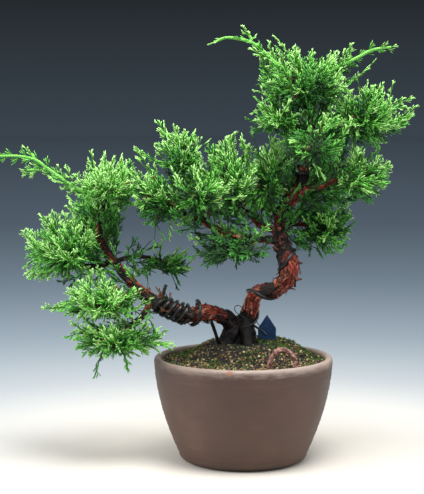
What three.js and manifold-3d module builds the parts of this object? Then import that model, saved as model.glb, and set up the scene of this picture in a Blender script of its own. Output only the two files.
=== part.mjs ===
// Twin-trunk juniper bonsai in a round unglazed clay pot.
// Millimetres, +Z up. The origin is the middle of the pot's flat underside.
// +X is the viewer's right and the viewer looks along +Y.
import * as THREE from 'three';
import { mergeVertices } from 'three/addons/utils/BufferGeometryUtils.js';
import Module from 'manifold-3d';

const wasm = await Module();
wasm.setup();

// Clearance between neighbouring pieces
const GAP = 0.3;

// Pot: the wall draws in by BELLY_DROP from rim to heel along a power curve
const POT_RADIUS = 60;
const POT_HEIGHT = 70;
const POT_WALL = 5;
const POT_FLOOR = 6;
const FOOT_RADIUS = 36;
const HEEL_HEIGHT = 5;
const BELLY_DROP = 19;
const BELLY_POWER = 1.8;
const POT_SEGMENTS = 30;
const BELLY_STEPS = 6;
const ROUND_STEPS = 3;
const INNER_STEPS = 3;

// Soil: a level mound under the trunk that falls away to an edge below the rim
const SOIL_EDGE = 66.5;
const SOIL_RINGS = 10;
const MOUND_X = 5;
const MOUND_Y = 16;
const MOUND_TOP = 77;
const MOUND_FLAT = 25;
const MOUND_FOOT = 46;
const LUMP_HEIGHT = 1.3;
const LUMP_SPACING = 18;

// Plant label: a bare pentagonal plate stuck in the mound
const LABEL_WIDTH = 12.5;
const LABEL_SHOULDER = 8;
const LABEL_HEIGHT = 17.5;
const LABEL_THICK = 1.2;
const LABEL_PLACE = [17, 25];

// Surface root that arches out of the soil near the front rim
const ARCH_MIDDLE = [25, -30, 67];
const ARCH_SPAN = 8.5;
const ARCH_RISE = 11.5;
const ARCH_RADIUS = 1.7;
const ARCH_STEPS = 6;

// Limbs: middle points with the radius there, as [x, y, z, radius], from root to tip
const TRUNK_SIDES = 8;
const TRUNK_STEPS = 26;
const BOUGH_SIDES = 5;
const BOUGH_STEPS = 5;
const TRUNKS = {
  trunk_right: [
    [-4, 12, MOUND_TOP + GAP, 9.5], [-1, 11, 85, 6.8], [4, 8, 99, 5.2], [9, 1, 111.5, 4.6],
    [24.5, -8, 118, 4.7], [31, -8, 128, 6.4], [27, -1, 141, 5.6], [24, 7, 157, 4.2], [29, 5, 171, 4.6],
    [37, 2, 182, 4], [42, 4, 200, 3], [45.5, 4, 216, 2.3], [43.5, 2, 228, 1.8], [39.5, 0, 241, 1.4],
  ],
  trunk_left: [
    [-4, 10, 85, 5.4], [-14, 5, 96, 5.2], [-22, -1, 99.5, 5.1], [-36, -8, 98.6, 5.2],
    [-45, -11, 101.6, 5.1], [-59, -12, 108, 4.3], [-74, -5, 119, 3.6], [-87, 2, 134.5, 2.9],
    [-96, 4, 149, 2.2], [-96, 3, 163, 1.8], [-90.5, 0, 178, 1.4],
  ],
};
const BOUGHS = {
  bough_pad_low: {
    from: 'trunk_right',
    path: [
      [25.5, 2, 147, 3], [1, -6, 150.5, 2.8], [-22, -8, 158, 2.3], [-35, -5, 172, 1.8],
      [-39.5, -3, 189, 1.5],
    ],
  },
  bough_pad_high: {
    from: 'trunk_right',
    path: [[24, 6, 154, 2.4], [12, 9, 157, 2.1], [4, 10, 165, 1.8], [-5, 10, 171, 1.5]],
  },
  bough_pad_left: {
    from: 'bough_pad_low',
    path: [[-27, -7.5, 162, 1.9], [-37, -11, 165, 1.6], [-45, -10, 171, 1.3]],
  },
  bough_pad_front: {
    from: 'bough_pad_low',
    path: [[-31.5, -6, 167, 1.8], [-31, -12, 171, 1.6], [-30, -15, 176, 1.4]],
  },
  bough_pad_under: {
    from: 'bough_pad_low',
    path: [[6, -5, 149.5, 2], [4, -10, 146, 1.7], [0, -12, 143.5, 1.4]],
  },
  bough_pad_back: {
    from: 'trunk_right',
    path: [[26, 6.5, 163, 2.2], [16, 20, 168, 1.8], [0, 29, 173, 1.4]],
  },
  bough_right_low: {
    from: 'trunk_right',
    path: [[24, 7, 160, 2], [35, 12, 158, 1.7], [45, 15, 157, 1.4]],
  },
  bough_right_back: {
    from: 'trunk_right',
    path: [[30, 4.5, 172, 2], [37, 18, 175, 1.7], [43, 28, 180, 1.4]],
  },
  bough_right_mid: {
    from: 'trunk_right',
    path: [[37, 2, 182, 2.2], [50, -2, 183, 1.9], [60, -5, 188, 1.7], [67, -6, 192, 1.4]],
  },
  bough_right_top: {
    from: 'trunk_right',
    path: [[45.3, 4, 215.5, 1.9], [54, 1, 222, 1.7], [65, -2, 227, 1.4]],
  },
  bough_crown_low: {
    from: 'trunk_right',
    path: [[32, 4, 175.5, 2], [26, 12, 183, 1.7], [20, 14, 189, 1.4]],
  },
  bough_crown_front: {
    from: 'trunk_right',
    path: [[42.5, 4, 203, 1.9], [44, -8, 207, 1.7], [45, -17, 211, 1.4]],
  },
  bough_crown_back: {
    from: 'trunk_right',
    path: [[43.8, 4, 208, 1.9], [44, 15, 213, 1.7], [46, 23, 217, 1.4]],
  },
  bough_crown_left: {
    from: 'trunk_right',
    path: [[44.8, 3, 222, 1.7], [37, -1, 226, 1.5], [31, -2, 229, 1.3]],
  },
  bough_left_low: {
    from: 'trunk_left',
    path: [[-61, -12, 109, 2.5], [-67, -16, 99, 2.2], [-75, -19, 93, 1.8], [-81, -21, 90.5, 1.4]],
  },
  bough_left_front: {
    from: 'trunk_left',
    path: [[-72, -6, 117.5, 2], [-80, -13, 110, 1.7], [-87, -18, 108, 1.4]],
  },
  bough_left_mid: {
    from: 'trunk_left',
    path: [[-86.5, 2, 134, 2.1], [-97, 0, 130.6, 1.8], [-106, -3, 131, 1.6], [-112, -5, 134, 1.4]],
  },
  bough_left_inner: {
    from: 'trunk_left',
    path: [[-86.5, 2, 134, 1.8], [-77, 4, 136, 1.6], [-69, 6, 136.5, 1.4], [-63, 7.5, 135.5, 1.3]],
  },
  bough_left_back: {
    from: 'trunk_left',
    path: [[-92.5, 3.5, 142.5, 1.8], [-94, 13, 147, 1.6], [-98, 20, 153, 1.4]],
  },
};

// Training wire wound up each trunk, with from and to as shares of the trunk's length: turns
// below zero wind the other way, and slack is how far the wire stands off in the middle
const WIRE_RADIUS = 1.2;
const WIRE_SIDES = 4;
const TURN_STEPS = 8;
const LIMB_SAMPLES = 400;
const COILS = {
  wire_right: { on: 'trunk_right', from: 0.065, to: 0.44, turns: 2.25, start: 0.97, slack: 0 },
  wire_right_upper: { on: 'trunk_right', from: 0.715, to: 0.775, turns: 2, start: 0.1, slack: 0 },
  wire_left_outer: { on: 'trunk_left', from: 0.285, to: 0.425, turns: -1.75, start: 0.35, slack: 0 },
  wire_left_middle: { on: 'trunk_left', from: 0.285, to: 0.425, turns: -1.75, start: 0.68, slack: 0 },
  wire_left_inner: { on: 'trunk_left', from: 0.285, to: 0.425, turns: -1.75, start: 0.02, slack: 0 },
  wire_left_loop: { on: 'trunk_left', from: 0.175, to: 0.262, turns: -1, start: 0.85, slack: 2.4 },
};
const ANCHOR_PATH = [[-22.5, -2, 96], [-19, 2, 86], [-15.5, 5, 74]];

// Foliage: each mass fills an ellipsoid round its centre, and its shoots reach out beyond it,
// each to its tip as [x, y, z], with the rise of its bend where that is more than a twig's
const MASSES = {
  crown_top: {
    on: 'trunk_right', centre: [41, 0, 256], reach: [36, 30, 21], seed: 11,
    shoots: [[-21, -2, 280, 22], [3, 5, 286], [24, -6, 284], [100, 3, 277]],
  },
  crown_left: {
    on: 'bough_crown_left', centre: [22, -2, 231], reach: [19, 22, 15], seed: 12,
    shoots: [[3, -3, 234]],
  },
  crown_low: {
    on: 'bough_crown_low', centre: [15, 12, 190], reach: [19, 22, 30], seed: 13, shoots: [],
  },
  crown_front: {
    on: 'bough_crown_front', centre: [46, -26, 214], reach: [22, 16, 23], seed: 14, shoots: [],
  },
  crown_back: {
    on: 'bough_crown_back', centre: [50, 32, 222], reach: [28, 18, 25], seed: 15, shoots: [],
  },
  crown_right: {
    on: 'bough_right_top', centre: [86, 0, 232], reach: [27, 26, 23], seed: 16,
    shoots: [[111, -4, 237], [85, 4, 252]],
  },
  right_mid: {
    on: 'bough_right_mid', centre: [80, -6, 191], reach: [23, 24, 20], seed: 17,
    shoots: [[102, -6, 200]],
  },
  right_low: {
    on: 'bough_right_low', centre: [57, 12, 159], reach: [20, 20, 22], seed: 18,
    shoots: [[44, 6, 136], [68, 8, 139]],
  },
  right_back: {
    on: 'bough_right_back', centre: [54, 36, 186], reach: [26, 18, 22], seed: 19, shoots: [],
  },
  pad_top: {
    on: 'bough_pad_low', centre: [-42, -1, 207], reach: [18, 20, 20], seed: 20,
    shoots: [[-59, -3, 229]],
  },
  pad_left: {
    on: 'bough_pad_left', centre: [-60, -5, 181], reach: [22, 24, 20], seed: 21,
    shoots: [[-72, -3, 210], [-60, -10, 141]],
  },
  pad_front: {
    on: 'bough_pad_front', centre: [-27, -20, 181], reach: [26, 17, 19], seed: 31, shoots: [],
  },
  pad_right: {
    on: 'bough_pad_high', centre: [-12, 3, 193], reach: [24, 24, 24], seed: 22, shoots: [],
  },
  pad_under: {
    on: 'bough_pad_under', centre: [-15, -12, 144], reach: [29, 22, 14], seed: 23,
    shoots: [[11, -8, 135]],
  },
  pad_back: {
    on: 'bough_pad_back', centre: [-22, 36, 180], reach: [32, 18, 23], seed: 24, shoots: [],
  },
  left_top: {
    on: 'trunk_left', centre: [-87, 0, 188], reach: [26, 27, 20], seed: 25,
    shoots: [[-138, -2, 199], [-170, -2, 204]],
  },
  left_mid: {
    on: 'bough_left_mid', centre: [-121, -3, 145], reach: [29, 28, 24], seed: 26,
    shoots: [[-136, -2, 167], [-149, -4, 130]],
  },
  left_front: {
    on: 'bough_left_front', centre: [-94, -24, 112], reach: [32, 20, 18], seed: 27,
    shoots: [[-127, -22, 105]],
  },
  left_low: {
    on: 'bough_left_low', centre: [-84, -26, 84], reach: [35, 24, 17], seed: 28,
    shoots: [[-119, -26, 87], [-75, -24, 62], [-46, -22, 78]],
  },
  left_inner: {
    on: 'bough_left_inner', centre: [-50, 8, 132], reach: [20, 18, 13], seed: 29,
    shoots: [[-41, 6, 116]],
  },
  left_back: {
    on: 'bough_left_back', centre: [-104, 28, 160], reach: [20, 18, 24], seed: 30, shoots: [],
  },
};

// Twigs are three-sided, and flat toothed sprays fan out from them to the edge of the space
const STEM_REACH = 0.75;
const STEM_RADIUS = 1.8;
const STEM_TIP = 1.4;
const TWIG_RADIUS = 0.9;
const TWIG_TIP = 0.7;
const TWIG_SIDES = 3;
const TWIG_STEPS = 2;
const FIRST_TWIG = 0.3;
const TWIG_END = 0.5;
const TWIG_LIFT = 4;
const SEAT_SPACING = 2.5;
const BARE_SEATS = 2;
const SPRAY_AREA = 172;
const SPRAYS_A_TWIG = 5;
const SPRAY_LENGTH = 20;
const SPRAY_LONGEST = 34;
const SPRAY_WIDTH = 1.15;
const SPRAY_THICK = 1;
const SPRAY_SINK = 0.5;
const SPRAY_MIDDLE = 0.4;
const SPRAY_ROLL = Math.PI / 4;
const SPRAY_TURNS = [1, -1, 0, 2];
const SEAT_TRIES = 3;
const SPRAY_LOBES = [[0.42, 1], [0.45, 0.45], [0.76, 0.75], [0.74, 0.35]];
const FIRST_SHOOT = 0.4;
const SHOOT_SPRAYS = 3;
const SHOOT_SPRAY = 13;
const SHOOT_SPREAD = 0.75;
const SHOOT_LOBES = [[0.5, 1], [0.47, 0.3]];
const EDGE_STEPS = 6;
const EDGE_INMOST = 0.4;
const STEEP = 0.95;
const GOLDEN_ANGLE = Math.PI * (3 - Math.sqrt(5));

// Finishes
const CLAY = { color: 0x765f55, roughness: 0.85, metalness: 0 };
const EARTH = { color: 0x3a3226, roughness: 1, metalness: 0 };
const BARK = { color: 0x7a3f2c, roughness: 0.8, metalness: 0 };
const WIRE = { color: 0x1c1c1e, roughness: 0.4, metalness: 0.6 };
const BLUE = { color: 0x1c2f7a, roughness: 0.45, metalness: 0 };
const NEEDLES = { color: 0x4f9438, roughness: 0.65, metalness: 0 };

const vector = (list) => new THREE.Vector3(list[0], list[1], list[2]);
const curveThrough = (points) => new THREE.CatmullRomCurve3(points.map(vector));

// Repeatable numbers from 0 to 1
const RANDOM_FACTOR = 1664525;
const RANDOM_STEP = 1013904223;
const RANDOM_SPAN = 2 ** 32;
function seeded(seed) {
  let state = seed;
  return () => {
    state = (RANDOM_FACTOR * state + RANDOM_STEP) % RANDOM_SPAN;
    return state / RANDOM_SPAN;
  };
}

// Shared vertices merged and collapsed triangles dropped, so that the surface is closed
function clean(geometry) {
  geometry.deleteAttribute('normal');
  geometry.deleteAttribute('uv');
  const merged = mergeVertices(geometry);
  const kept = [];
  for (let i = 0; i < merged.index.count; i += 3) {
    const corners = [0, 1, 2].map((k) => merged.index.getX(i + k));
    if (new Set(corners).size === 3) kept.push(...corners);
  }
  merged.setIndex(kept);
  return merged;
}

function toSolid(geometry) {
  const closed = clean(geometry);
  return new wasm.Manifold(new wasm.Mesh({
    numProp: 3,
    vertProperties: new Float32Array(closed.attributes.position.array),
    triVerts: new Uint32Array(closed.index.array),
  }));
}

function toGeometry(solid) {
  const mesh = solid.getMesh();
  const geometry = new THREE.BufferGeometry();
  geometry.setAttribute('position', new THREE.BufferAttribute(mesh.vertProperties, 3));
  geometry.setIndex(new THREE.BufferAttribute(mesh.triVerts, 1));
  return geometry;
}

// The largest connected body of a solid
function largest(solid) {
  const bodies = solid.decompose();
  return bodies.reduce((best, body) => (body.volume() > best.volume() ? body : best));
}

// A tube of changing radius along a curve, closed by flat ends
function loft(curve, radiusAt, sides, steps, footHeight = null) {
  const frames = curve.computeFrenetFrames(steps, false);
  const positions = [];
  const faces = [];
  for (let i = 0; i <= steps; i++) {
    const middle = curve.getPointAt(i / steps);
    for (let k = 0; k < sides; k++) {
      const angle = 2 * Math.PI * k / sides;
      const point = middle.clone();
      point.addScaledVector(frames.normals[i], radiusAt(i / steps) * Math.cos(angle));
      point.addScaledVector(frames.binormals[i], radiusAt(i / steps) * Math.sin(angle));
      if (i === 0 && footHeight !== null) point.z = footHeight;
      positions.push(point.x, point.y, point.z);
    }
  }
  for (let i = 0; i < steps; i++) {
    for (let k = 0; k < sides; k++) {
      const a = i * sides + k;
      const b = i * sides + (k + 1) % sides;
      faces.push(a, b, b + sides, a, b + sides, a + sides);
    }
  }
  const last = steps * sides;
  for (let k = 1; k < sides - 1; k++) {
    faces.push(0, k + 1, k, last, last + k, last + k + 1);
  }
  const geometry = new THREE.BufferGeometry();
  geometry.setAttribute('position', new THREE.Float32BufferAttribute(positions, 3));
  geometry.setIndex(faces);
  return geometry;
}

// Radius along a limb's length, read between the radii of its middle points
function limbRadius(curve, points, grow = 0) {
  return (share) => {
    const place = curve.getUtoTmapping(share) * (points.length - 1);
    const below = Math.min(Math.floor(place), points.length - 2);
    return THREE.MathUtils.lerp(points[below][3], points[below + 1][3], place - below) + grow;
  };
}

function makePot() {
  const belly = (z) => POT_RADIUS - BELLY_DROP * (1 - z / POT_HEIGHT) ** BELLY_POWER;
  const inside = (z) => belly(z) - POT_WALL;
  const profile = [new THREE.Vector2(0, 0)];
  const heel = belly(HEEL_HEIGHT) - FOOT_RADIUS;
  for (let i = 0; i <= ROUND_STEPS; i++) {
    const turn = Math.PI / 2 * i / ROUND_STEPS;
    const across = FOOT_RADIUS + heel * Math.sin(turn);
    profile.push(new THREE.Vector2(across, HEEL_HEIGHT * (1 - Math.cos(turn))));
  }
  const rimHeight = POT_HEIGHT - POT_WALL / 2;
  for (let i = 1; i < BELLY_STEPS; i++) {
    const z = THREE.MathUtils.lerp(HEEL_HEIGHT, rimHeight, i / BELLY_STEPS);
    profile.push(new THREE.Vector2(belly(z), z));
  }
  const rimMiddle = belly(rimHeight) - POT_WALL / 2;
  for (let i = 0; i <= 2 * ROUND_STEPS; i++) {
    const turn = Math.PI * i / (2 * ROUND_STEPS);
    const across = POT_WALL / 2 * Math.cos(turn);
    profile.push(new THREE.Vector2(rimMiddle + across, rimHeight + POT_WALL / 2 * Math.sin(turn)));
  }
  for (let i = 1; i <= INNER_STEPS; i++) {
    const z = THREE.MathUtils.lerp(rimHeight, POT_FLOOR, i / INNER_STEPS);
    profile.push(new THREE.Vector2(inside(z), z));
  }
  profile.push(new THREE.Vector2(0, POT_FLOOR));
  return { geometry: new THREE.LatheGeometry(profile, POT_SEGMENTS).rotateX(Math.PI / 2), inside };
}

// The soil fills the pot up to a mound whose top is level and whose foot is lumpy
function makeSoil(inside) {
  const profile = [new THREE.Vector2(0, POT_FLOOR + GAP)];
  for (let i = 0; i <= INNER_STEPS; i++) {
    const z = THREE.MathUtils.lerp(POT_FLOOR + GAP, SOIL_EDGE, i / INNER_STEPS);
    profile.push(new THREE.Vector2(inside(z) - 2 * GAP, z));
  }
  const edge = inside(SOIL_EDGE) - 2 * GAP;
  for (let i = 1; i <= SOIL_RINGS; i++) {
    profile.push(new THREE.Vector2(edge * (1 - i / SOIL_RINGS), SOIL_EDGE));
  }
  const geometry = new THREE.LatheGeometry(profile, POT_SEGMENTS).rotateX(Math.PI / 2);
  const place = geometry.attributes.position;
  for (let i = 0; i < place.count; i++) {
    const x = place.getX(i);
    const y = place.getY(i);
    const lump = Math.sin(2 * Math.PI * x / LUMP_SPACING) * Math.sin(2 * Math.PI * y / LUMP_SPACING);
    const distance = Math.hypot(x - MOUND_X, y - MOUND_Y);
    const fall = THREE.MathUtils.smoothstep(distance, MOUND_FLAT, MOUND_FOOT);
    const onTop = place.getZ(i) > SOIL_EDGE - GAP;
    if (onTop) place.setZ(i, THREE.MathUtils.lerp(MOUND_TOP, SOIL_EDGE + LUMP_HEIGHT * lump, fall));
  }
  return geometry;
}

function makeLabel() {
  const half = LABEL_WIDTH / 2;
  const outline = new THREE.Shape([
    new THREE.Vector2(-half, 0),
    new THREE.Vector2(half, 0),
    new THREE.Vector2(half, LABEL_SHOULDER),
    new THREE.Vector2(0, LABEL_HEIGHT),
    new THREE.Vector2(-half, LABEL_SHOULDER),
  ]);
  const plate = new THREE.ExtrudeGeometry(outline, { depth: LABEL_THICK, bevelEnabled: false });
  return plate.rotateX(Math.PI / 2).translate(LABEL_PLACE[0], LABEL_PLACE[1], MOUND_TOP + GAP);
}

// A half-ellipse of root whose feet end just above the soil
function makeArch(raisedSoil) {
  const points = [];
  for (let i = 0; i <= ARCH_STEPS; i++) {
    const turn = Math.PI * (1 - i / ARCH_STEPS);
    points.push([
      ARCH_MIDDLE[0] + ARCH_SPAN * Math.cos(turn), ARCH_MIDDLE[1],
      ARCH_MIDDLE[2] + ARCH_RISE * Math.sin(turn),
    ]);
  }
  const root = loft(curveThrough(points), () => ARCH_RADIUS, BOUGH_SIDES, 2 * BOUGH_STEPS);
  return largest(toSolid(root).subtract(raisedSoil));
}

// A wire that winds round a limb, close to it but for its slack
class Coil extends THREE.Curve {
  constructor(limb, coil) {
    super();
    this.limb = limb;
    this.coil = coil;
    this.frames = limb.curve.computeFrenetFrames(LIMB_SAMPLES, false);
  }

  getPoint(share, target = new THREE.Vector3()) {
    const along = THREE.MathUtils.lerp(this.coil.from, this.coil.to, share);
    const frame = Math.round(along * LIMB_SAMPLES);
    const angle = 2 * Math.PI * (this.coil.start + share * this.coil.turns);
    const chord = Math.cos(Math.PI / TURN_STEPS);
    const slack = this.coil.slack * Math.sin(Math.PI * share);
    const arm = (this.limb.radius(along) + WIRE_RADIUS + GAP + slack) / chord;
    target.copy(this.limb.curve.getPointAt(along));
    target.addScaledVector(this.frames.normals[frame], arm * Math.cos(angle));
    return target.addScaledVector(this.frames.binormals[frame], arm * Math.sin(angle));
  }
}

// A flat spray: a toothed blade, thickest in the middle, whose root lies in its twig
function makeSpray(root, along, facing, length, lobes) {
  const half = SPRAY_WIDTH * length / 2;
  const edge = lobes.map(([share, width]) => [share * length, width * half, 0]);
  const rim = [
    [-SPRAY_SINK, 0, 0],
    ...edge.map(([x, y]) => [x, -y, 0]),
    [length, 0, 0],
    ...edge.reverse(),
  ];
  const middles = [1, -1].map((side) => [SPRAY_MIDDLE * length, 0, side * SPRAY_THICK / 2]);
  const faces = rim.flatMap((point, i) => {
    const next = (i + 1) % rim.length;
    return [i, next, rim.length, next, i, rim.length + 1];
  });
  const blade = new THREE.BufferGeometry();
  blade.setAttribute('position', new THREE.Float32BufferAttribute([...rim, ...middles].flat(), 3));
  blade.setIndex(faces);
  const across = new THREE.Vector3().crossVectors(facing, along);
  const place = new THREE.Matrix4().makeBasis(along, across, facing).setPosition(root);
  return toSolid(blade.applyMatrix4(place));
}

// The side that a spray turns to the viewer: level, then rolled one way or the other
function sprayFacing(along, roll) {
  const level = new THREE.Vector3(0, 0, 1).cross(along);
  if (Math.abs(along.z) > STEEP) level.set(0, 1, 0).cross(along).cross(along);
  return level.normalize().applyAxisAngle(along, roll);
}

// Distance from a space's centre as a share of its reach
function spaceShare(point, mass) {
  const offset = point.clone().sub(vector(mass.centre));
  return offset.divide(vector(mass.reach)).length();
}

// The i-th of a number of points spread evenly over a mass's space, at a share of its reach
function spacePoint(mass, i, count, share, phase) {
  const height = 1 - 2 * (i + 0.5) / count;
  const girth = Math.sqrt(1 - height * height);
  const angle = GOLDEN_ANGLE * i + phase;
  const direction = new THREE.Vector3(girth * Math.cos(angle), girth * Math.sin(angle), height);
  return direction.multiply(vector(mass.reach)).multiplyScalar(share).add(vector(mass.centre));
}

// The i-th point at the edge of a mass's space, drawn in to where no other mass is nearer
function edgePoint(name, i, count, phase) {
  const others = Object.keys(MASSES).filter((other) => other !== name);
  for (let step = 0; step <= EDGE_STEPS; step++) {
    const share = THREE.MathUtils.lerp(1, EDGE_INMOST, step / EDGE_STEPS);
    const point = spacePoint(MASSES[name], i, count, share, phase);
    if (others.every((other) => spaceShare(point, MASSES[other]) > share)) return point;
  }
  return null;
}

function boxesMeet(one, two) {
  return [0, 1, 2].every((k) => one.min[k] < two.max[k] && two.min[k] < one.max[k]);
}

function meets(solid, obstacles) {
  const box = solid.boundingBox();
  return obstacles.some((other) => (
    boxesMeet(box, other.boundingBox()) && solid.intersect(other).volume() > 0
  ));
}

function twigSolid(curve, from, to) {
  const radius = (share) => THREE.MathUtils.lerp(from, to, share);
  return toSolid(loft(curve, radius, TWIG_SIDES, TWIG_STEPS));
}

// Places along a twig where a spray can sit
function seatsOn(twig) {
  const count = Math.ceil(twig.getLength() / SEAT_SPACING);
  return twig.getSpacedPoints(count).slice(BARE_SEATS);
}

// The stem, twigs, shoots and sprays of one mass, fused into one body
function makeMass(name, limb, obstacles) {
  const mass = MASSES[name];
  const random = seeded(mass.seed);
  const heading = limb.curve.getTangentAt(1);
  const start = limb.curve.getPointAt(1).addScaledVector(heading, GAP);
  const hub = start.clone().lerp(vector(mass.centre), STEM_REACH);
  const lead = start.clone().addScaledVector(heading, start.distanceTo(hub) / 2);
  const stem = new THREE.QuadraticBezierCurve3(start, lead, hub);
  const wood = [twigSolid(stem, STEM_RADIUS, STEM_TIP)];
  const sprays = [];
  const seats = seatsOn(stem);

  const addTwig = (foot, end, way, lift) => {
    const bend = foot.clone().lerp(end, 0.5).addScaledVector(way, lift);
    const twig = new THREE.QuadraticBezierCurve3(foot, bend, end);
    const solid = twigSolid(twig, TWIG_RADIUS, TWIG_TIP);
    if (meets(solid, obstacles)) return null;
    wood.push(solid);
    return twig;
  };
  const addSpray = (root, along, length, lobes) => {
    const first = sprays.length % 2 ? SPRAY_ROLL : -SPRAY_ROLL;
    return SPRAY_TURNS.some((turn) => {
      const spray = makeSpray(root, along, sprayFacing(along, first * turn), length, lobes);
      const clear = !meets(spray, obstacles) && !meets(spray, sprays);
      if (clear) sprays.push(spray);
      return clear;
    });
  };

  const [rx, ry, rz] = mass.reach;
  const sprayCount = Math.round((rx * ry + ry * rz + rz * rx) / SPRAY_AREA);
  const twigCount = Math.ceil(sprayCount / SPRAYS_A_TWIG);
  const phase = 2 * Math.PI * random();
  for (let i = 0; i < twigCount; i++) {
    const foot = stem.getPointAt(THREE.MathUtils.lerp(FIRST_TWIG, 1, (i + 0.5) / twigCount));
    const twig = addTwig(foot, spacePoint(mass, i, twigCount, TWIG_END, phase), heading, TWIG_LIFT);
    if (twig) seats.push(...seatsOn(twig));
  }
  mass.shoots.forEach((point, order) => {
    const share = THREE.MathUtils.lerp(FIRST_SHOOT, 1, (order + 1) / mass.shoots.length);
    const foot = stem.getPointAt(share);
    const along = vector(point).sub(foot).normalize();
    const end = vector(point).addScaledVector(along, -SHOOT_SPRAY);
    const shoot = addTwig(foot, end, new THREE.Vector3(0, 0, 1), point[3] ?? TWIG_LIFT);
    for (let i = 0; shoot && i < SHOOT_SPRAYS; i++) {
      const place = 1 - i / (SHOOT_SPRAYS + 1);
      const turn = i === 0 ? 0 : SHOOT_SPREAD * (-1) ** i;
      const forward = shoot.getTangentAt(place);
      const side = new THREE.Vector3(0, 1, 0).cross(forward).cross(forward).normalize();
      forward.applyAxisAngle(side, turn);
      addSpray(shoot.getPointAt(place), forward, SHOOT_SPRAY, SHOOT_LOBES);
    }
  });
  for (let i = 0; i < sprayCount; i++) {
    const target = edgePoint(name, i, sprayCount, phase);
    if (!target) continue;
    const misfit = (seat) => Math.abs(seat.distanceTo(target) - SPRAY_LENGTH);
    seats.sort((one, two) => misfit(one) - misfit(two));
    const taken = seats.slice(0, SEAT_TRIES).findIndex((seat) => {
      const along = target.clone().sub(seat).normalize();
      const length = Math.min(seat.distanceTo(target), SPRAY_LONGEST);
      return addSpray(seat, along, length, SPRAY_LOBES);
    });
    if (taken >= 0) seats.splice(taken, 1);
  }
  return largest(wasm.Manifold.union([...wood, ...sprays]));
}

const bonsai = new THREE.Group();
function addMesh(name, geometry, finish) {
  const mesh = new THREE.Mesh(geometry, new THREE.MeshStandardMaterial(finish));
  mesh.name = name;
  bonsai.add(mesh);
}

const pot = makePot();
const soil = toSolid(makeSoil(pot.inside));
const raisedSoil = soil.translate([0, 0, GAP]);
addMesh('pot', clean(pot.geometry), CLAY);
addMesh('soil', toGeometry(soil), EARTH);
addMesh('plant_label', clean(makeLabel()), BLUE);
addMesh('root_arch', toGeometry(makeArch(raisedSoil)), BARK);

// Trunks and boughs, each cut clear of the limb that it grows from
const limbs = {};
function addLimb(name, points, sides, steps, parent, footHeight = null) {
  const curve = curveThrough(points);
  const body = toSolid(loft(curve, limbRadius(curve, points), sides, steps, footHeight));
  const grown = toSolid(loft(curve, limbRadius(curve, points, GAP), sides, steps, footHeight));
  const solid = parent ? largest(body.subtract(limbs[parent].grown)) : body;
  limbs[name] = { curve, radius: limbRadius(curve, points), grown, solid };
  addMesh(name, toGeometry(solid), BARK);
}
addLimb('trunk_right', TRUNKS.trunk_right, TRUNK_SIDES, TRUNK_STEPS, null, MOUND_TOP + GAP);
addLimb('trunk_left', TRUNKS.trunk_left, TRUNK_SIDES, TRUNK_STEPS, 'trunk_right');
for (const [name, bough] of Object.entries(BOUGHS)) {
  addLimb(name, bough.path, BOUGH_SIDES, BOUGH_STEPS, bough.from);
}

// Wires: the coils and the straight leg that anchors the left trunk in the soil
const wires = [];
function addWire(name, solid) {
  wires.push(solid);
  addMesh(name, toGeometry(solid), WIRE);
}
for (const [name, coil] of Object.entries(COILS)) {
  const curve = new Coil(limbs[coil.on], coil);
  const steps = TURN_STEPS * Math.abs(coil.turns);
  addWire(name, toSolid(loft(curve, () => WIRE_RADIUS, WIRE_SIDES, steps)));
}
const anchor = toSolid(loft(curveThrough(ANCHOR_PATH), () => WIRE_RADIUS, WIRE_SIDES, TURN_STEPS));
addWire('wire_anchor', largest(anchor.subtract(raisedSoil).subtract(limbs.trunk_left.grown)));

// Foliage: every mass keeps clear of the limbs, the wires and the masses made before it
const grownLimbs = Object.values(limbs).map((limb) => limb.grown);
const obstacles = [soil, toSolid(pot.geometry), ...grownLimbs, ...wires];
for (const name of Object.keys(MASSES)) {
  const solid = makeMass(name, limbs[MASSES[name].on], obstacles);
  obstacles.push(solid);
  addMesh(name, toGeometry(solid), NEEDLES);
}

export default bonsai;
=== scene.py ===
"""Forked juniper bonsai in a round clay pot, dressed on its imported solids.

Sizes are in millimetres up to the meshes, which are written in metres.
"""

import math

import bpy
import numpy as np
from mathutils import Matrix, Vector


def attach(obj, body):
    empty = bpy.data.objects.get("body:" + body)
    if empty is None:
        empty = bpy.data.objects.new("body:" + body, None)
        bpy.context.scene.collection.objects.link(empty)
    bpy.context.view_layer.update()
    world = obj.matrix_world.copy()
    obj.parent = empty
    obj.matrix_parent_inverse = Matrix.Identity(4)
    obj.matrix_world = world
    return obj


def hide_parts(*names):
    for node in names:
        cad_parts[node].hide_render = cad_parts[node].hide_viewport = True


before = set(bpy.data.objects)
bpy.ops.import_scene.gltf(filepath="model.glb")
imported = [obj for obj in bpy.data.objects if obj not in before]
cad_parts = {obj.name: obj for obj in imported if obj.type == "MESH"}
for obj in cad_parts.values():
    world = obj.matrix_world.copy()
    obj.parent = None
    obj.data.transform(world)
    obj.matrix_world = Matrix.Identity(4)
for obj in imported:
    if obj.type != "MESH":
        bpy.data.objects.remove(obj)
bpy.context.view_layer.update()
scene = bpy.context.scene

MM = 0.001
UP = np.array([0.0, 0.0, 1.0])
GOLDEN_ANGLE = math.pi * (3 - math.sqrt(5))

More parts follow.
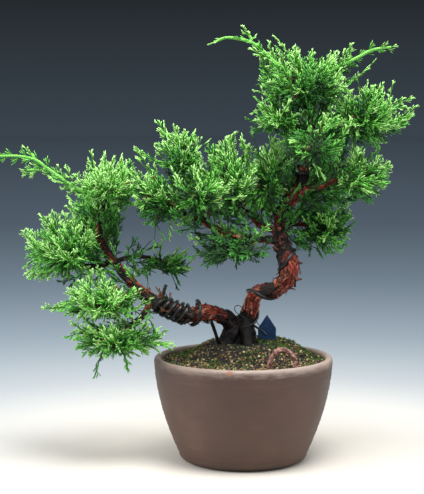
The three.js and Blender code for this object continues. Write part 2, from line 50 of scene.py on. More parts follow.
# Pot
POT_RADIUS = 60
POT_HEIGHT = 70
POT_WALL = 5
POT_FLOOR = 6
FOOT_RADIUS = 36
HEEL_HEIGHT = 5
BELLY_DROP = 19
BELLY_POWER = 1.8
POT_SEGMENTS = 160
RIPPLE = 0.12
RIPPLE_PITCH = 3.4
RIM_CHIP = [-10.0, -59.0, 69.0]
CHIP_RADIUS = 2.6
CHIP_DEPTH = 0.7
CHIP_CORE = 0.6
UNDERSIDE_SHARE = 0.62
HEEL_STEPS = 9
BELLY_STEPS = 60
RIM_STEPS = 15
WALL_STEPS = 14
OVAL_DEPTH = 0.002
TRIPLE_DEPTH = 0.0012
WOBBLE_FROM = 8
WOBBLE_FULL = 60

# Soil
SOIL_EDGE = 66.5
SOIL_DEPTH = 8
MOUND_X = 5
MOUND_Y = 16
MOUND_TOP = 77
MOUND_FLAT = 25
MOUND_FOOT = 46
LUMP_HEIGHT = 1.3
LUMP_SPACING = 18
SOIL_RINGS = 44
SOIL_SEGMENTS = 132
SOIL_ROUGH = 1.3
COARSE_SPACING = 7
FINE_SPACING = 2.2
FINE_SHARE = 0.6
CLUMP_SPACING = 9
SOIL_LAP = 0.2
SKIRT_EASE = 0.004
TRUNK_FOOT = [0, 6]
# Fewer pale grains near the trunk's foot darken the soil there: partly darker earth, partly painted shade
# under the trunk
TRUNK_SHADE_FADES_FROM = 12
TRUNK_SHADE_GONE_AT = 30
GROUND_SHAPES = 6
PEBBLE_FLAT = 0.75
MOSS_LEAVES = 7
COVER_RELIEF = 0.2
COVER = {
    "tan_grit": {
        "finish": "tan_grit_stone", "grain": 300.0,
        "seed": 41, "spacing": 2.2, "size": (0.5, 1.35), "most": 0.25,
        "stops": [(0.3, (128, 108, 64)), (0.5, (168, 152, 100)), (0.7, (212, 200, 156))],
    },
    "brown_grit": {
        "finish": "brown_grit_stone", "grain": 300.0,
        "seed": 42, "spacing": 1.5, "size": (0.5, 1.25), "most": 0.25,
        "stops": [
            (0.3, (58, 52, 30)), (0.45, (128, 88, 52)), (0.55, (112, 108, 66)), (0.7, (160, 152, 106)),
        ],
    },
    "dark_grit": {
        "finish": "dark_grit_stone", "grain": 300.0,
        "seed": 43, "spacing": 1.5, "size": (0.5, 1.2), "most": 0.25,
        "stops": [(0.3, (8, 8, 5)), (0.5, (18, 18, 11)), (0.7, (44, 44, 28))],
    },
    "moss": {
        "finish": "cushion_moss", "grain": 260.0,
        "seed": 44, "spacing": 1.3, "size": (1.0, 2.2), "most": 0.5,
        "stops": [(0.3, (34, 50, 18)), (0.5, (70, 100, 38)), (0.7, (118, 152, 66))],
    },
}
MOSS_PATCHES = [
    [25, 0, 8], [14, 20, 6], [40, 24, 8], [-30, 34, 9], [-38, 18, 7], [45, 4, 6], [2, -20, 4],
    [-22, -24, 4],
]

# Label and root arch
LABEL_WIDTH = 12.5
LABEL_SHOULDER = 8
LABEL_HEIGHT = 17.5
LABEL_THICK = 1.2
LABEL_PLACE = [17, 25]
LABEL_SUNK = 4
LABEL_EASE = 0.3
ARCH_MIDDLE = [25, -30, 67]
ARCH_SPAN = 8.5
ARCH_RISE = 11.5
ARCH_RADIUS = 1.7
ARCH_OVERRUN = 0.12
ARCH_SWAY = 0.8
ARCH_STEPS = 90
ARCH_SIDES = 20
ARCH_KNOTS = (16, 6)

# Limbs: x, y, z and radius of their middle points
TRUNKS = {
    "trunk_right": [
        [-4, 12, 77.3, 9.5], [-1, 11, 85, 6.8], [4, 8, 99, 5.2], [9, 1, 111.5, 4.6],
        [24.5, -8, 118, 4.7], [31, -8, 128, 6.4], [27, -1, 141, 5.6], [24, 7, 157, 4.2],
        [29, 5, 171, 4.6], [37, 2, 182, 4], [42, 4, 200, 3], [45.5, 4, 216, 2.3],
        [43.5, 2, 228, 1.8], [39.5, 0, 241, 1.4],
    ],
    "trunk_left": [
        [-4, 10, 85, 5.4], [-14, 5, 96, 5.2], [-22, -1, 99.5, 5.1], [-36, -8, 98.6, 5.2],
        [-45, -11, 101.6, 5.1], [-59, -12, 108, 4.3], [-74, -5, 119, 3.6], [-87, 2, 134.5, 2.9],
        [-96, 4, 149, 2.2], [-96, 3, 163, 1.8], [-90.5, 0, 178, 1.4],
    ],
}
BOUGHS = {
    "bough_pad_low": [
        [25.5, 2, 147, 3], [1, -6, 150.5, 2.8], [-22, -8, 158, 2.3], [-35, -5, 172, 1.8],
        [-39.5, -3, 189, 1.5],
    ],
    "bough_pad_high": [[24, 6, 154, 2.4], [12, 9, 157, 2.1], [4, 10, 165, 1.8], [-5, 10, 171, 1.5]],
    "bough_pad_left": [[-27, -7.5, 162, 1.9], [-37, -11, 165, 1.6], [-45, -10, 171, 1.3]],
    "bough_pad_front": [[-31.5, -6, 167, 1.8], [-31, -12, 171, 1.6], [-30, -15, 176, 1.4]],
    "bough_pad_under": [[6, -5, 149.5, 2], [4, -10, 146, 1.7], [0, -12, 143.5, 1.4]],
    "bough_pad_back": [[26, 6.5, 163, 2.2], [16, 20, 168, 1.8], [0, 29, 173, 1.4]],
    "bough_right_low": [[24, 7, 160, 2], [35, 12, 158, 1.7], [45, 15, 157, 1.4]],
    "bough_right_back": [[30, 4.5, 172, 2], [37, 18, 175, 1.7], [43, 28, 180, 1.4]],
    "bough_right_mid": [[37, 2, 182, 2.2], [50, -2, 183, 1.9], [60, -5, 188, 1.7], [67, -6, 192, 1.4]],
    "bough_right_top": [[45.3, 4, 215.5, 1.9], [54, 1, 222, 1.7], [65, -2, 227, 1.4]],
    "bough_crown_low": [[32, 4, 175.5, 2], [26, 12, 183, 1.7], [20, 14, 189, 1.4]],
    "bough_crown_front": [[42.5, 4, 203, 1.9], [44, -8, 207, 1.7], [45, -17, 211, 1.4]],
    "bough_crown_back": [[43.8, 4, 208, 1.9], [44, 15, 213, 1.7], [46, 23, 217, 1.4]],
    "bough_crown_left": [[44.8, 3, 222, 1.7], [37, -1, 226, 1.5], [31, -2, 229, 1.3]],
    "bough_left_low": [
        [-61, -12, 109, 2.5], [-67, -16, 99, 2.2], [-75, -19, 93, 1.8], [-81, -21, 90.5, 1.4],
    ],
    "bough_left_front": [[-72, -6, 117.5, 2], [-80, -13, 110, 1.7], [-87, -18, 108, 1.4]],
    "bough_left_mid": [
        [-86.5, 2, 134, 2.1], [-97, 0, 130.6, 1.8], [-106, -3, 131, 1.6], [-112, -5, 134, 1.4],
    ],
    "bough_left_inner": [
        [-86.5, 2, 134, 1.8], [-77, 4, 136, 1.6], [-69, 6, 136.5, 1.4], [-63, 7.5, 135.5, 1.3],
    ],
    "bough_left_back": [[-92.5, 3.5, 142.5, 1.8], [-94, 13, 147, 1.6], [-98, 20, 153, 1.4]],
}
ROOTS = [
    [[-3, 8, 94, 4], [-7, 5, 84, 4], [-11, 1, 75, 2.8]],
    [[1, 8, 94, 4], [2, 4, 84, 4], [4, 0, 75, 2.8]],
    [[-5, 10, 94, 4], [-10, 10, 84, 4], [-15.5, 10, 75, 2.8]],
    [[3, 10, 94, 4], [5, 12, 84, 3.8], [8, 13, 75, 2.6]],
    [[-1, 13, 94, 4], [-3, 18, 84, 4], [-4, 24, 75, 2.6]],
]
LIMB_SAMPLES = 400

# Bark: its redness goes by shares of a limb's length; flakes have a count, middle, spread and length
PLATE_AREA = 18.0
PLATE_STRETCH = 3.4
PLATES_LEAST = 6
CRACK_WIDTH = 0.7
BARK_TWIST = 0.005
BARK_RELIEF = 0.3
RELIEF_LEAST = 0.25
RELIEF_MOST = 1.7
SWELL_RUN = 6
SWELL_SHARE = 0.36
PATCH_RUN = 11
ROOTED_DEPTH = 3
RIGHT_STEPS = 300
RIGHT_SIDES = 48
LEFT_STEPS = 240
LEFT_SIDES = 44
ROOT_STEPS = 40
ROOT_SIDES = 24
BOUGH_STEPS = 60
BOUGH_SIDES = 22
RIGHT_RED = [
    (0, -0.7), (0.09, -0.6), (0.13, 0.5), (0.17, 0.9), (0.3, 0.9), (0.34, 0.5), (0.42, 0.55), (0.5, 0.3),
    (0.6, 0.6), (0.8, 0.6), (1, 0.2),
]
LEFT_RED = [
    (0, -0.7), (0.08, -0.5), (0.14, 0.6), (0.24, 0.65), (0.3, 0.4), (0.36, -0.2), (0.5, -0.2), (1, 0),
]
ROOT_RED = [(0, -0.7), (1, -0.7)]
BOUGH_RED = [(0, 0.45), (1, 0.3)]
TRUNK_FLAKES = [
    ("trunk_right", 150, 0.35, 0.07, 5.0), ("trunk_right", 110, 0.5, 0.25, 3.5),
    ("trunk_left", 90, 0.27, 0.06, 4.5), ("trunk_left", 90, 0.45, 0.2, 3.5),
]
BOUGH_FLAKES = (10, 0.5, 0.3, 2.4)
FLAKE_SHAPES = [(0.16, 0.3), (0.3, 0.22), (0.24, 0.5)]

# Training wire: from and to are shares of the limb, start is a share of a turn
WIRE_RADIUS = 1.2
WIRE_CLEARANCE = 0.15
COILS = {
    "wire_right": {
        "on": "trunk_right", "from": 0.065, "to": 0.44, "turns": 2.25, "start": 0.97, "slack": 0,
    },
    "wire_right_upper": {
        "on": "trunk_right", "from": 0.715, "to": 0.775, "turns": 2, "start": 0.1, "slack": 0,
    },
    "wire_left_outer": {
        "on": "trunk_left", "from": 0.285, "to": 0.425, "turns": -1.75, "start": 0.35, "slack": 0,
    },
    "wire_left_middle": {
        "on": "trunk_left", "from": 0.285, "to": 0.425, "turns": -1.75, "start": 0.68, "slack": 0,
    },
    "wire_left_inner": {
        "on": "trunk_left", "from": 0.285, "to": 0.425, "turns": -1.75, "start": 0.02, "slack": 0,
    },
    "wire_left_loop": {
        "on": "trunk_left", "from": 0.175, "to": 0.262, "turns": -1, "start": 0.85, "slack": 2.4,
    },
}
LOOSE_ENDS = {
    "cut_wire_end": (1.2, [[-54.5, -12, 107], [-53.5, -14, 112.5], [-52.5, -14, 116], [-51.4, -14, 119.5]]),
    "thin_tie": (0.28, [[1, 3, 95.5], [-2.8, 1, 97.6], [-5.6, 1, 100.6], [-5.4, 1, 103.2], [-2.8, 1, 103.8],
                        [0, 1, 101.5], [3, 4, 98.5]]),
    "thin_end": (0.3, [[3.5, 4, 97.2], [8, 2, 93.8], [11.4, 2, 89.7]]),
    "bent_end": (0.75, [[3, 7, 91.8], [9.5, 5, 88.2], [13.5, 5, 85.2], [15.8, 6, 83]]),
}
TURN_STEPS = 28
WIRE_SIDES = 14
END_SIDES = 10
ANCHOR_STEPS = 24
END_STEPS = 40
ANCHOR_PATH = [[-22.5, -2, 96], [-19, 2, 86], [-15.5, 5, 74]]

# Foliage masses: their light value shifts their greens as painted light and shade, darker for masses that
# sit in shade; thin spaces their sprays out and airy thins them below
MASSES = {
    "crown_top": {
        "on": "trunk_right", "region": "crown", "seed": 11, "painted_light": -0.14,
        "centre": [41, 0, 256], "reach": [36, 30, 21],
        "shoots": [[20, -2, 284]],
        "leaders": [
            [[20.6, -2, 266], [6.7, -2, 278], [-2.6, -2, 281], [-12.4, -2, 281.8], [-21.7, -2, 278]],
            [[5, -2, 281], [2, -2, 286]],
            [[75, 0, 269], [84.7, 1, 274], [100, 2, 276.5]],
        ],
        "tips": [
            [9, 0, 277], [3, 0, 272], [33, 0, 277], [40, 0, 269], [50, 0, 269], [61, 0, 273],
            [70, 0, 272], [87, 0, 268], [81, 0, 262], [11, 0, 265], [11, 0, 260],
        ],
    },
    "crown_left": {
        "on": "bough_crown_left", "region": "crown", "seed": 12,
        "centre": [22, -2, 231], "reach": [19, 22, 15],
        "shoots": [[3, -3, 234]],
        "tips": [[17, -2, 254], [12, -2, 250], [9, -2, 242], [2, -2, 230]],
    },
    "crown_low": {
        "on": "bough_crown_low", "region": "crown", "seed": 13, "painted_light": 0.02,
        "centre": [15, 12, 190], "reach": [19, 22, 30],
        "tips": [[18, 0, 218], [22, 0, 213], [26, 0, 208], [30, 0, 203]],
    },
    "crown_front": {
        "on": "bough_crown_front", "region": "crown", "seed": 14, "painted_light": -0.2, "thin": 2.0,
        "centre": [46, -26, 214], "reach": [22, 16, 23],
    },
    "crown_back": {
        "on": "bough_crown_back", "region": "crown", "seed": 15,
        "centre": [50, 32, 222], "reach": [28, 18, 25],
    },
    "crown_right": {
        "on": "bough_right_top", "region": "right", "seed": 16, "painted_light": 0.06,
        "centre": [86, 0, 232], "reach": [27, 26, 23],
        "shoots": [[111, -4, 237], [85, 4, 252]],
        "tips": [
            [78, -3, 217], [84, -3, 211], [83, 0, 254], [88, 0, 250], [94, 0, 249], [99, 0, 244],
            [109, 0, 233], [106, 0, 227], [101, 0, 222], [95, 0, 213], [67, -3, 209], [74, -3, 210],
            [80, -3, 208], [64, 0, 251], [67, 0, 244], [63, 0, 238],
        ],
    },
    "right_mid": {
        "on": "bough_right_mid", "region": "right", "seed": 17, "painted_light": 0.02,
        "centre": [80, -6, 191], "reach": [23, 24, 20],
        "shoots": [[102, -6, 200]],
        "tips": [
            [97, -6, 200], [94, -6, 188], [87, -6, 181], [86, -6, 172], [72, -10, 212], [78, -10, 210],
        ],
    },
    "right_low": {
        "on": "bough_right_low", "region": "right", "seed": 18, "painted_light": -0.16,
        "centre": [57, 12, 159], "reach": [20, 20, 22],
        "shoots": [[44, 6, 136], [68, 8, 139]],
        "tips": [
            [30, 5, 151], [35, 4, 147], [40, 5, 142], [53, 8, 135], [61, 8, 137], [71, 8, 152],
            [67, 8, 156], [78, 8, 168], [70, 5, 168], [73, 5, 158], [72, 5, 148], [74, 2, 165],
            [76, 4, 161],
        ],
    },
    "right_back": {
        "on": "bough_right_back", "region": "right", "seed": 19, "painted_light": -0.15,
        "centre": [54, 36, 186], "reach": [26, 18, 22],
    },
    "pad_top": {
        "on": "bough_pad_low", "region": "pad", "seed": 20, "painted_light": 0.04,
        "centre": [-42, -1, 207], "reach": [18, 20, 20],
        "shoots": [[-59, -3, 229]],
        "tips": [
            [-53, -2, 227], [-46, -2, 225], [-40, -2, 221], [-33, -2, 219], [-32, -2, 212],
            [-71, -2, 211],
        ],
    },
    "pad_left": {
        "on": "bough_pad_left", "region": "pad", "seed": 21, "painted_light": 0.06,
        "centre": [-60, -5, 181], "reach": [22, 24, 20],
        "shoots": [[-72, -3, 210], [-60, -10, 141]],
        "tips": [
            [-75, -5, 196], [-75, -5, 184], [-67, -5, 169], [-62, -5, 162], [-50, -10, 161],
            [-45, -10, 157], [-40, -10, 152], [-49, -10, 149], [-36, -10, 159],
        ],
    },
    "pad_front": {
        "on": "bough_pad_front", "region": "pad", "seed": 31, "painted_light": -0.06, "thin": 1.3,
        "centre": [-27, -20, 181], "reach": [26, 17, 19],
        "tips": [
            [-50, -14, 162], [-43, -14, 158], [-37, -14, 161], [-30, -14, 158], [-10, -6, 164],
            [-4, -6, 166], [-29, -8, 158], [-14, -8, 161], [4, -8, 165],
        ],
    },
    "pad_right": {
        "on": "bough_pad_high", "region": "pad", "seed": 22,
        "centre": [-12, 3, 193], "reach": [24, 24, 24],
        "tips": [[-20, 3, 212], [-12, 3, 217], [-7, 3, 220], [0, 3, 219], [4, 3, 213]],
    },
    "pad_under": {
        "on": "bough_pad_under", "region": "pad", "seed": 23, "painted_light": -0.62, "thin": 1.7,
        "centre": [-15, -12, 144], "reach": [29, 22, 14],
        "shoots": [[11, -8, 135]],
        "tips": [
            [-25, -14, 152], [3, -6, 160], [9, -6, 156], [16, -6, 160], [-34, -12, 145],
            [-26, -12, 134], [-18, -12, 134], [-7, -12, 136], [-16, -8, 162], [-8, -8, 159],
            [0, -8, 157], [10, -8, 145], [16, -8, 142], [19, -8, 149], [-21, -8, 155], [-8, -8, 158],
            [8, -8, 155],
        ],
    },
    "pad_back": {
        "on": "bough_pad_back", "region": "pad", "seed": 24,
        "centre": [-22, 36, 180], "reach": [32, 18, 23],
    },
    "left_top": {
        "on": "trunk_left", "region": "left", "seed": 25, "painted_light": 0.5,
        "centre": [-87, 0, 188], "reach": [26, 27, 20],
        "leaders": [
            [[-109, -2, 182], [-129, -2, 195], [-138, -2, 201.5], [-148.5, -2, 204], [-170, -2, 204]],
            [[-131, -2, 196], [-139, -2, 195], [-146.5, -2, 195]],
            [[-139.5, -2, 203.5], [-142.5, -2, 208]],
        ],
        "tips": [[-110, -1, 202], [-103, -1, 200], [-93, -1, 200], [-84, -1, 200], [-72, -1, 197]],
    },
    "left_mid": {
        "on": "bough_left_mid", "region": "left", "seed": 26, "painted_light": 0.22, "thin": 1.25,
        "centre": [-121, -3, 145], "reach": [29, 28, 24],
        "shoots": [[-136, -2, 167], [-149, -4, 130]],
        "tips": [
            [-129, -3, 168], [-145, -3, 156], [-150, -3, 140], [-147, -3, 124], [-136, -3, 121],
            [-108, -10, 128], [-101, -10, 126], [-93, -10, 125], [-85, -10, 126], [-120, -8, 122],
            [-146, -8, 126], [-139, -10, 124], [-130, -12, 122], [-142, -8, 122], [-124, -12, 124],
        ],
    },
    "left_front": {
        "on": "bough_left_front", "region": "low", "seed": 27, "painted_light": 0.32, "thin": 1.15,
        "centre": [-94, -24, 112], "reach": [32, 20, 18],
        "shoots": [[-127, -22, 105]],
        "tips": [
            [-125, -22, 106], [-118, -22, 101], [-111, -15, 121], [-108, -15, 116], [-110, -24, 98],
            [-104, -30, 97], [-98, -20, 96], [-92, -30, 97], [-86, -22, 96], [-80, -30, 98],
            [-74, -22, 99], [-101, -12, 126], [-94, -14, 128], [-88, -12, 124],
        ],
    },
    "left_low": {
        "on": "bough_left_low", "region": "low", "seed": 28, "painted_light": 0.06, "thin": 1.5, "airy": 0.45,
        "centre": [-84, -26, 84], "reach": [35, 24, 17],
        "shoots": [[-119, -26, 87], [-75, -24, 62], [-46, -22, 78], [-91, -24, 72], [-111, -24, 79]],
        "tips": [
            [-111, -24, 80], [-102, -24, 74], [-96, -24, 73], [-81, -24, 74], [-62, -24, 74],
            [-54, -24, 76], [-104, -22, 99], [-94, -22, 96], [-81, -22, 97], [-68, -22, 101],
            [-62, -22, 96], [-55, -22, 91], [-111, -22, 91], [-101, -22, 87], [-87, -20, 95],
            [-80, -20, 98], [-62, -20, 98], [-56, -20, 93], [-60, -20, 88], [-114, -26, 98],
            [-107, -28, 95], [-101, -30, 94], [-94, -28, 95], [-88, -30, 93], [-82, -28, 95],
        ],
    },
    "left_inner": {
        "on": "bough_left_inner", "region": "low", "seed": 29, "painted_light": -0.15,
        "centre": [-50, 8, 132], "reach": [20, 18, 13],
        "shoots": [[-41, 6, 116]],
        "tips": [[-75, 4, 129], [-70, 4, 123], [-32, 6, 135], [-43, 6, 115]],
    },
    "left_back": {
        "on": "bough_left_back", "region": "left", "seed": 30, "painted_light": 0.2,
        "centre": [-104, 28, 160], "reach": [20, 18, 24],
    },
}

# Growth of stems, twigs and shoots; the phase turns each mass's points by its seed
PHASE_FACTOR = 1664525
PHASE_SHIFT = 1013904223
PHASE_RANGE = 2 ** 32
STEM_REACH = 0.75
STEM_RADIUS = 1.35
STEM_TIP = 0.9
STEM_BARE = 0.35
TWIG_RADIUS = 0.75
TWIG_TIP = 0.45
TWIG_BARE = 0.2
FIRST_TWIG = 0.3
TWIG_END = 0.5
TWIG_LIFT = 4
SOURCE_AREA = 172
SOURCE_SPRAYS = 5
FIRST_SHOOT = 0.4
SHOOT_WOODY = 0.5
SHOOT_GREEN = 0.45
SHOOT_SEATED = 0.7
SHOOT_BARE = 0.3
PLUME_LEAFY = 0.8
PLUME_LONGEST = 5.5
PLUME_SPREAD = 0.42
PLUME_FIRST = 14
PLUME_STEP = 6.0
PLUME_SIDE = 13.0
LEADER_RADIUS = 1.35
LEADER_TIP = 0.8
LEADER_BLUNT = 2.5
LEADER_STEPS = 180
LEADER_SCALE = 1.7
LEADER_LEAFY = 0.75
LEADER_LONGEST = 7.5
LEADER_STEP = 4.0
LEADER_SIDE = 11.0
SIDE_LONGEST = 6.0
SIDE_LEAN = 0.6

# Growth of sprays
SPRAY_AREA = 19.0
SPRAY_RADIUS = 0.45
SPRAY_TIP = 0.3
SPRAY_LEAST = 12
SPRAY_LEAFY = 24
SPRAY_BARE = 0.3
SEAT_SPACING = 2.5
LAST_SEAT = 0.92
LEAFY_MOST = 0.94
OUTER_SHARE = 0.72
OUTER_MIDDLE = 0.86
OUTER_SPREAD = 0.13
INNER_SHARE = 0.35
JOIN_REACH = 1.25
OVERLAP = 0.15
CORE = 0.55
SCATTER = 2.0
SPIRE_SHARE = 0.1
SPIRE_FROM = 1.04
SPIRE_LONGEST = 6.0
SPIRE_SPREAD = 0.42
SWELL_SPRAYS = 9
FAN_OUT = np.array([1.0, 0.5, 1.0])
FAN_RISE = 0.65
AIM_COST = 18
TURN_COST = 7
USED_COST = 4
CLOSE_COST = 60

# Branchlets: lobes are given as shares of the branchlet's length
BRANCHLET_SHORTEST = 5.2
BRANCHLET_LONGEST = 10.5
BRANCHLET_GAIN = 0.4
BRANCHLET_STEP = 2.6
BRANCHLET_SPREAD = 0.45
LONG_FROM = 6.0
LONG_KINDS = 4
SHORT_KINDS = 3
LONG_LOBES = (0.12, 0.3, 0.5)
SHORT_LOBES = (0.24, 0.46)
LONG_THICK = (0.053, 0.048)
SHORT_THICK = (0.09, 0.079)
LOBE_TILT = (0.28, 0.44)
LOBE_LENGTH = (0.66, 0.84)
FINGER_RINGS = {1: [(0.0, 0.7), (0.64, 1.05)], 2: [(0.0, 0.85), (0.42, 1.0), (0.8, 0.95)]}

# Greens of a branchlet's body and tip, from the brightest to the deepest; bright, fresh, mid and deep are
# lighter and darker copies of one green, dealt out as painted light and shade
GREENS = {
    "bright": ((108, 182, 62), (178, 228, 138)),
    "fresh": ((70, 150, 46), (126, 200, 88)),
    "mid": ((44, 108, 37), (80, 150, 61)),
    "deep": ((32, 66, 33), (58, 100, 56)),
    "dry": ((96, 60, 38), (134, 88, 56)),
}
# Further back than YOUNG_RUN a plume takes the next darker green: paler young growth at its end, painted
# shade towards its foot
DARKER = {"bright": "fresh", "fresh": "mid", "mid": "deep", "deep": "deep", "dry": "dry"}
YOUNG_RUN = 11.0
DRY_SHARE = 0.03
DRY_WITHIN = 0.62
DRY_BELOW = 0.6
# Painted light and shade of the sprays: greens lighter towards the top and the outside of a mass, darker
# below and within
MEAN_PAINTED_LIGHT = 0.68
PAINTED_LIGHT_BY_HEIGHT = 0.32
PAINTED_LIGHT_BY_REACH = 0.9
EVEN_REACH = 0.88
LIGHT_SPREAD = 0.23
TWIG_GREEN = (66, 104, 44)

# Sprays along bare limbs: from and to as shares, spacing, longest, region and greens
SHADED = ["deep", "mid", "mid"]
LIT = ["mid", "mid", "fresh", "fresh"]
CLOTHED = [
    *((name, 0.25, 1.0, 1.9, 18, name.split("_")[1], SHADED) for name in BOUGHS),
    ("trunk_right", 0.5, 0.98, 1.5, 22, "right", SHADED),
    ("bough_right_low", 0.2, 0.95, 1.2, 24, "right", SHADED),
    ("bough_right_mid", 0.2, 0.95, 1.2, 24, "right", SHADED),
    ("trunk_left", 0.48, 0.7, 2.8, 15, "left", LIT),
    ("trunk_left", 0.7, 0.98, 0.9, 22, "left", LIT),
    ("trunk_left", 0.36, 0.46, 1.6, 7, "left", ["dry"]),
]
CLOTHE_LEAFY = 0.8
CLOTHE_LONGEST = 8.0
WOOD_SIDES = 6
AXIS_SIDES = 3
WHIP_SIDES = 7

# Gaps of sky in the foliage: x, z and radius
GAPS = [
    [-40, 147, 5.3], [10, 215, 4.8], [2, 224, 4.7], [85, 264, 3.3], [-75, 205, 3.3], [95, 205, 3.3],
    [-139, 159, 3.3], [-56, 158, 3.3], [-47, 141, 3.3], [-61, 125, 3.3], [-148, 199, 3.0],
    [86, 256, 2.8], [103, 246, 2.8], [-66, 199, 2.8], [70, 157, 2.8], [-27, 211, 2.8], [79, 169, 2.8],
    [-34, 141, 2.8], [76, 252, 2.7], [-53, 205, 2.7], [22, 157, 2.7], [-146, 133, 2.7],
    [-108, 153, 2.4], [-117, 174, 2.4], [88, 177, 2.4], [48, 143, 2.4], [44, 283, 7], [54, 282, 6.5],
    [33, 287, 5], [103, 250, 4], [113, 224, 4.5], [108, 215, 4], [-70, 156, 5.5], [-66, 147, 4.5],
    [-49, 119, 5], [-126, 117, 4.5], [4, 268, 4.5], [4.5, 259, 4.5], [5, 251, 4], [103, 208, 4],
    [103, 198, 4], [101, 187, 4.5], [97, 180, 4], [-76, 155, 4.5], [-58, 150, 4], [-58, 124, 5],
    [-120, 114, 4], [-154, 140, 5], [-112, 203, 4], [88, 184, 2.5],
]

# Stage, in metres, and lamps: place, width and power
LAMPS = [
    ("overhead_lamp", (0.1, -0.25, 1.1), 0.6, 17),
    ("left_lamp", (-1.15, -0.2, 0.5), 0.7, 12),
    ("right_lamp", (1.1, -0.3, 0.4), 0.7, 4.5),
]
LAMP_AIM = (0, 0, 0.15)
SKY_STRENGTH = 1.12
FLOOR_RINGS = 40
FLOOR_SEGMENTS = 64
FLOOR_NEAR = 0.1
FLOOR_FAR = 60
PHOTO_HEIGHT = 494
FOCAL_PIXELS = 1350
SENSOR_WIDTH = 36
CAMERA_PLACE = (-0.021, -0.9, 0.221)
CAMERA_DOWN = 4.93


# Lines with a thickness

class Path:
    """A line with a thickness, sampled evenly along its length."""

    def __init__(self, places, radii, samples):
        gaps = np.linalg.norm(np.diff(places, axis=0), axis=1)
        run = np.concatenate([[0.0], np.cumsum(gaps)])
        even = np.linspace(0.0, run[-1], samples + 1)
        self.length = run[-1]
        self.places = np.stack([np.interp(even, run, places[:, k]) for k in range(3)], axis=1)
        self.radii = np.interp(even, run, radii)
        ways = np.gradient(self.places, axis=0)
        self.ways = ways / np.linalg.norm(ways, axis=1)[:, None]

    def read(self, rows, share):
        place = np.clip(share, 0, 1) * (len(rows) - 1)
        below = np.minimum(np.floor(place).astype(int), len(rows) - 2)
        rest = place - below
        if rows.ndim > 1:
            rest = np.expand_dims(rest, -1)
        return rows[below] * (1 - rest) + rows[below + 1] * rest

    def at(self, share):
        return self.read(self.places, share)

    def way(self, share):
        return self.read(self.ways, share)

    def part(self, low, high):
        shares = np.linspace(low, high, max(3, round((high - low) * (len(self.places) - 1)) + 1))
        return Path(self.at(shares), self.read(self.radii, shares), len(shares) - 1)

    def frames(self):
        """Two directions across the line at each sample, carried along without twist."""
        first = np.zeros(3)
        first[2 - np.argmin(np.abs(self.ways[0])[::-1])] = 1
        side = np.cross(self.ways[0], first)
        normals = [np.cross(self.ways[0], side / np.linalg.norm(side))]
        for after in self.ways[1:]:
            turned = normals[-1] - after * np.dot(normals[-1], after)
            normals.append(turned / np.linalg.norm(turned))
        normals = np.array(normals)
        return normals, np.cross(self.ways, normals)


def through(points, samples=LIMB_SAMPLES):
    """A smooth path through points given with their radius."""
    rows = np.array(points, float)
    if rows.shape[1] == 3:
        rows = np.hstack([rows, np.ones((len(rows), 1))])
    spots = rows[:, :3]
    ends = np.vstack([2 * spots[0] - spots[1], spots, 2 * spots[-1] - spots[-2]])
    steps = np.linspace(0, 1, 40, endpoint=False)[:, None]
    pieces = []
    for a, b, c, d in zip(ends, ends[1:], ends[2:], ends[3:]):
        ab, bc, cd = (math.sqrt(np.linalg.norm(q - p)) for p, q in ((a, b), (b, c), (c, d)))
        leave = ((b - a) / ab - (c - a) / (ab + bc) + (c - b) / bc) * bc
        reach = ((c - b) / bc - (d - b) / (bc + cd) + (d - c) / cd) * bc
        bend = -3 * b + 3 * c - 2 * leave - reach
        pieces.append(b + leave * steps + bend * steps ** 2 + (2 * b - 2 * c + leave + reach) * steps ** 3)
    places = np.vstack(pieces + [spots[-1:]])
    radii = np.interp(np.linspace(0, len(rows) - 1, len(places)), np.arange(len(rows)), rows[:, 3])
    return Path(places, radii, samples)


def bent(start, lead, end, thick, tip, samples=12):
    """A path that leaves its start towards a lead point and comes round to its end."""
    t = np.linspace(0, 1, 3 * samples + 1)[:, None]
    places = start * (1 - t) ** 2 + 2 * lead * t * (1 - t) + end * t ** 2
    return Path(places, np.linspace(thick, tip, len(places)), samples)


def unit(vector):
    return vector / max(np.linalg.norm(vector), 1e-9)


def smoothstep(value, low, high):
    share = np.clip((value - low) / (high - low), 0, 1)
    return share * share * (3 - 2 * share)


def soft_noise(lattice, down, across):
    """Reads a lattice of random values smoothly between its points; it repeats both ways."""
    row = np.floor(down).astype(int)
    column = np.floor(across).astype(int)
    a = smoothstep(down - row, 0, 1)
    b = smoothstep(across - column, 0, 1)
    rows, columns = lattice.shape
    near = lattice[row % rows, column % columns] * (1 - b) + lattice[row % rows, (column + 1) % columns] * b
    far = lattice[(row + 1) % rows, column % columns] * (1 - b)
    far = far + lattice[(row + 1) % rows, (column + 1) % columns] * b
    return near * (1 - a) + far * a


# Meshes and node trees

def mesh_of(name, places, faces, smooth=True):
    """A mesh in metres from places in millimetres."""
    mesh = bpy.data.meshes.new(name)
    mesh.from_pydata((np.asarray(places, float) * MM).tolist(), [], faces)
    mesh.polygons.foreach_set("use_smooth", [smooth] * len(mesh.polygons))
    mesh.update()
    return mesh


def mark(mesh, name, kind, domain, values):
    """Keeps a value for each point or face of a mesh."""
    layer = mesh.attributes.new(name, kind, domain)
    layer.data.foreach_set("vector" if kind == "FLOAT_VECTOR" else "value", np.asarray(values).ravel())


def show(name, mesh):
    piece = bpy.data.objects.new(name, mesh)
    scene.collection.objects.link(piece)
    return piece


def settle(piece, slot, *nodes):
    """Hangs a piece on the root body and hides the solids it stands in for; its slot is not used."""
    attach(piece, "root")
    if nodes:
        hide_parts(*nodes)


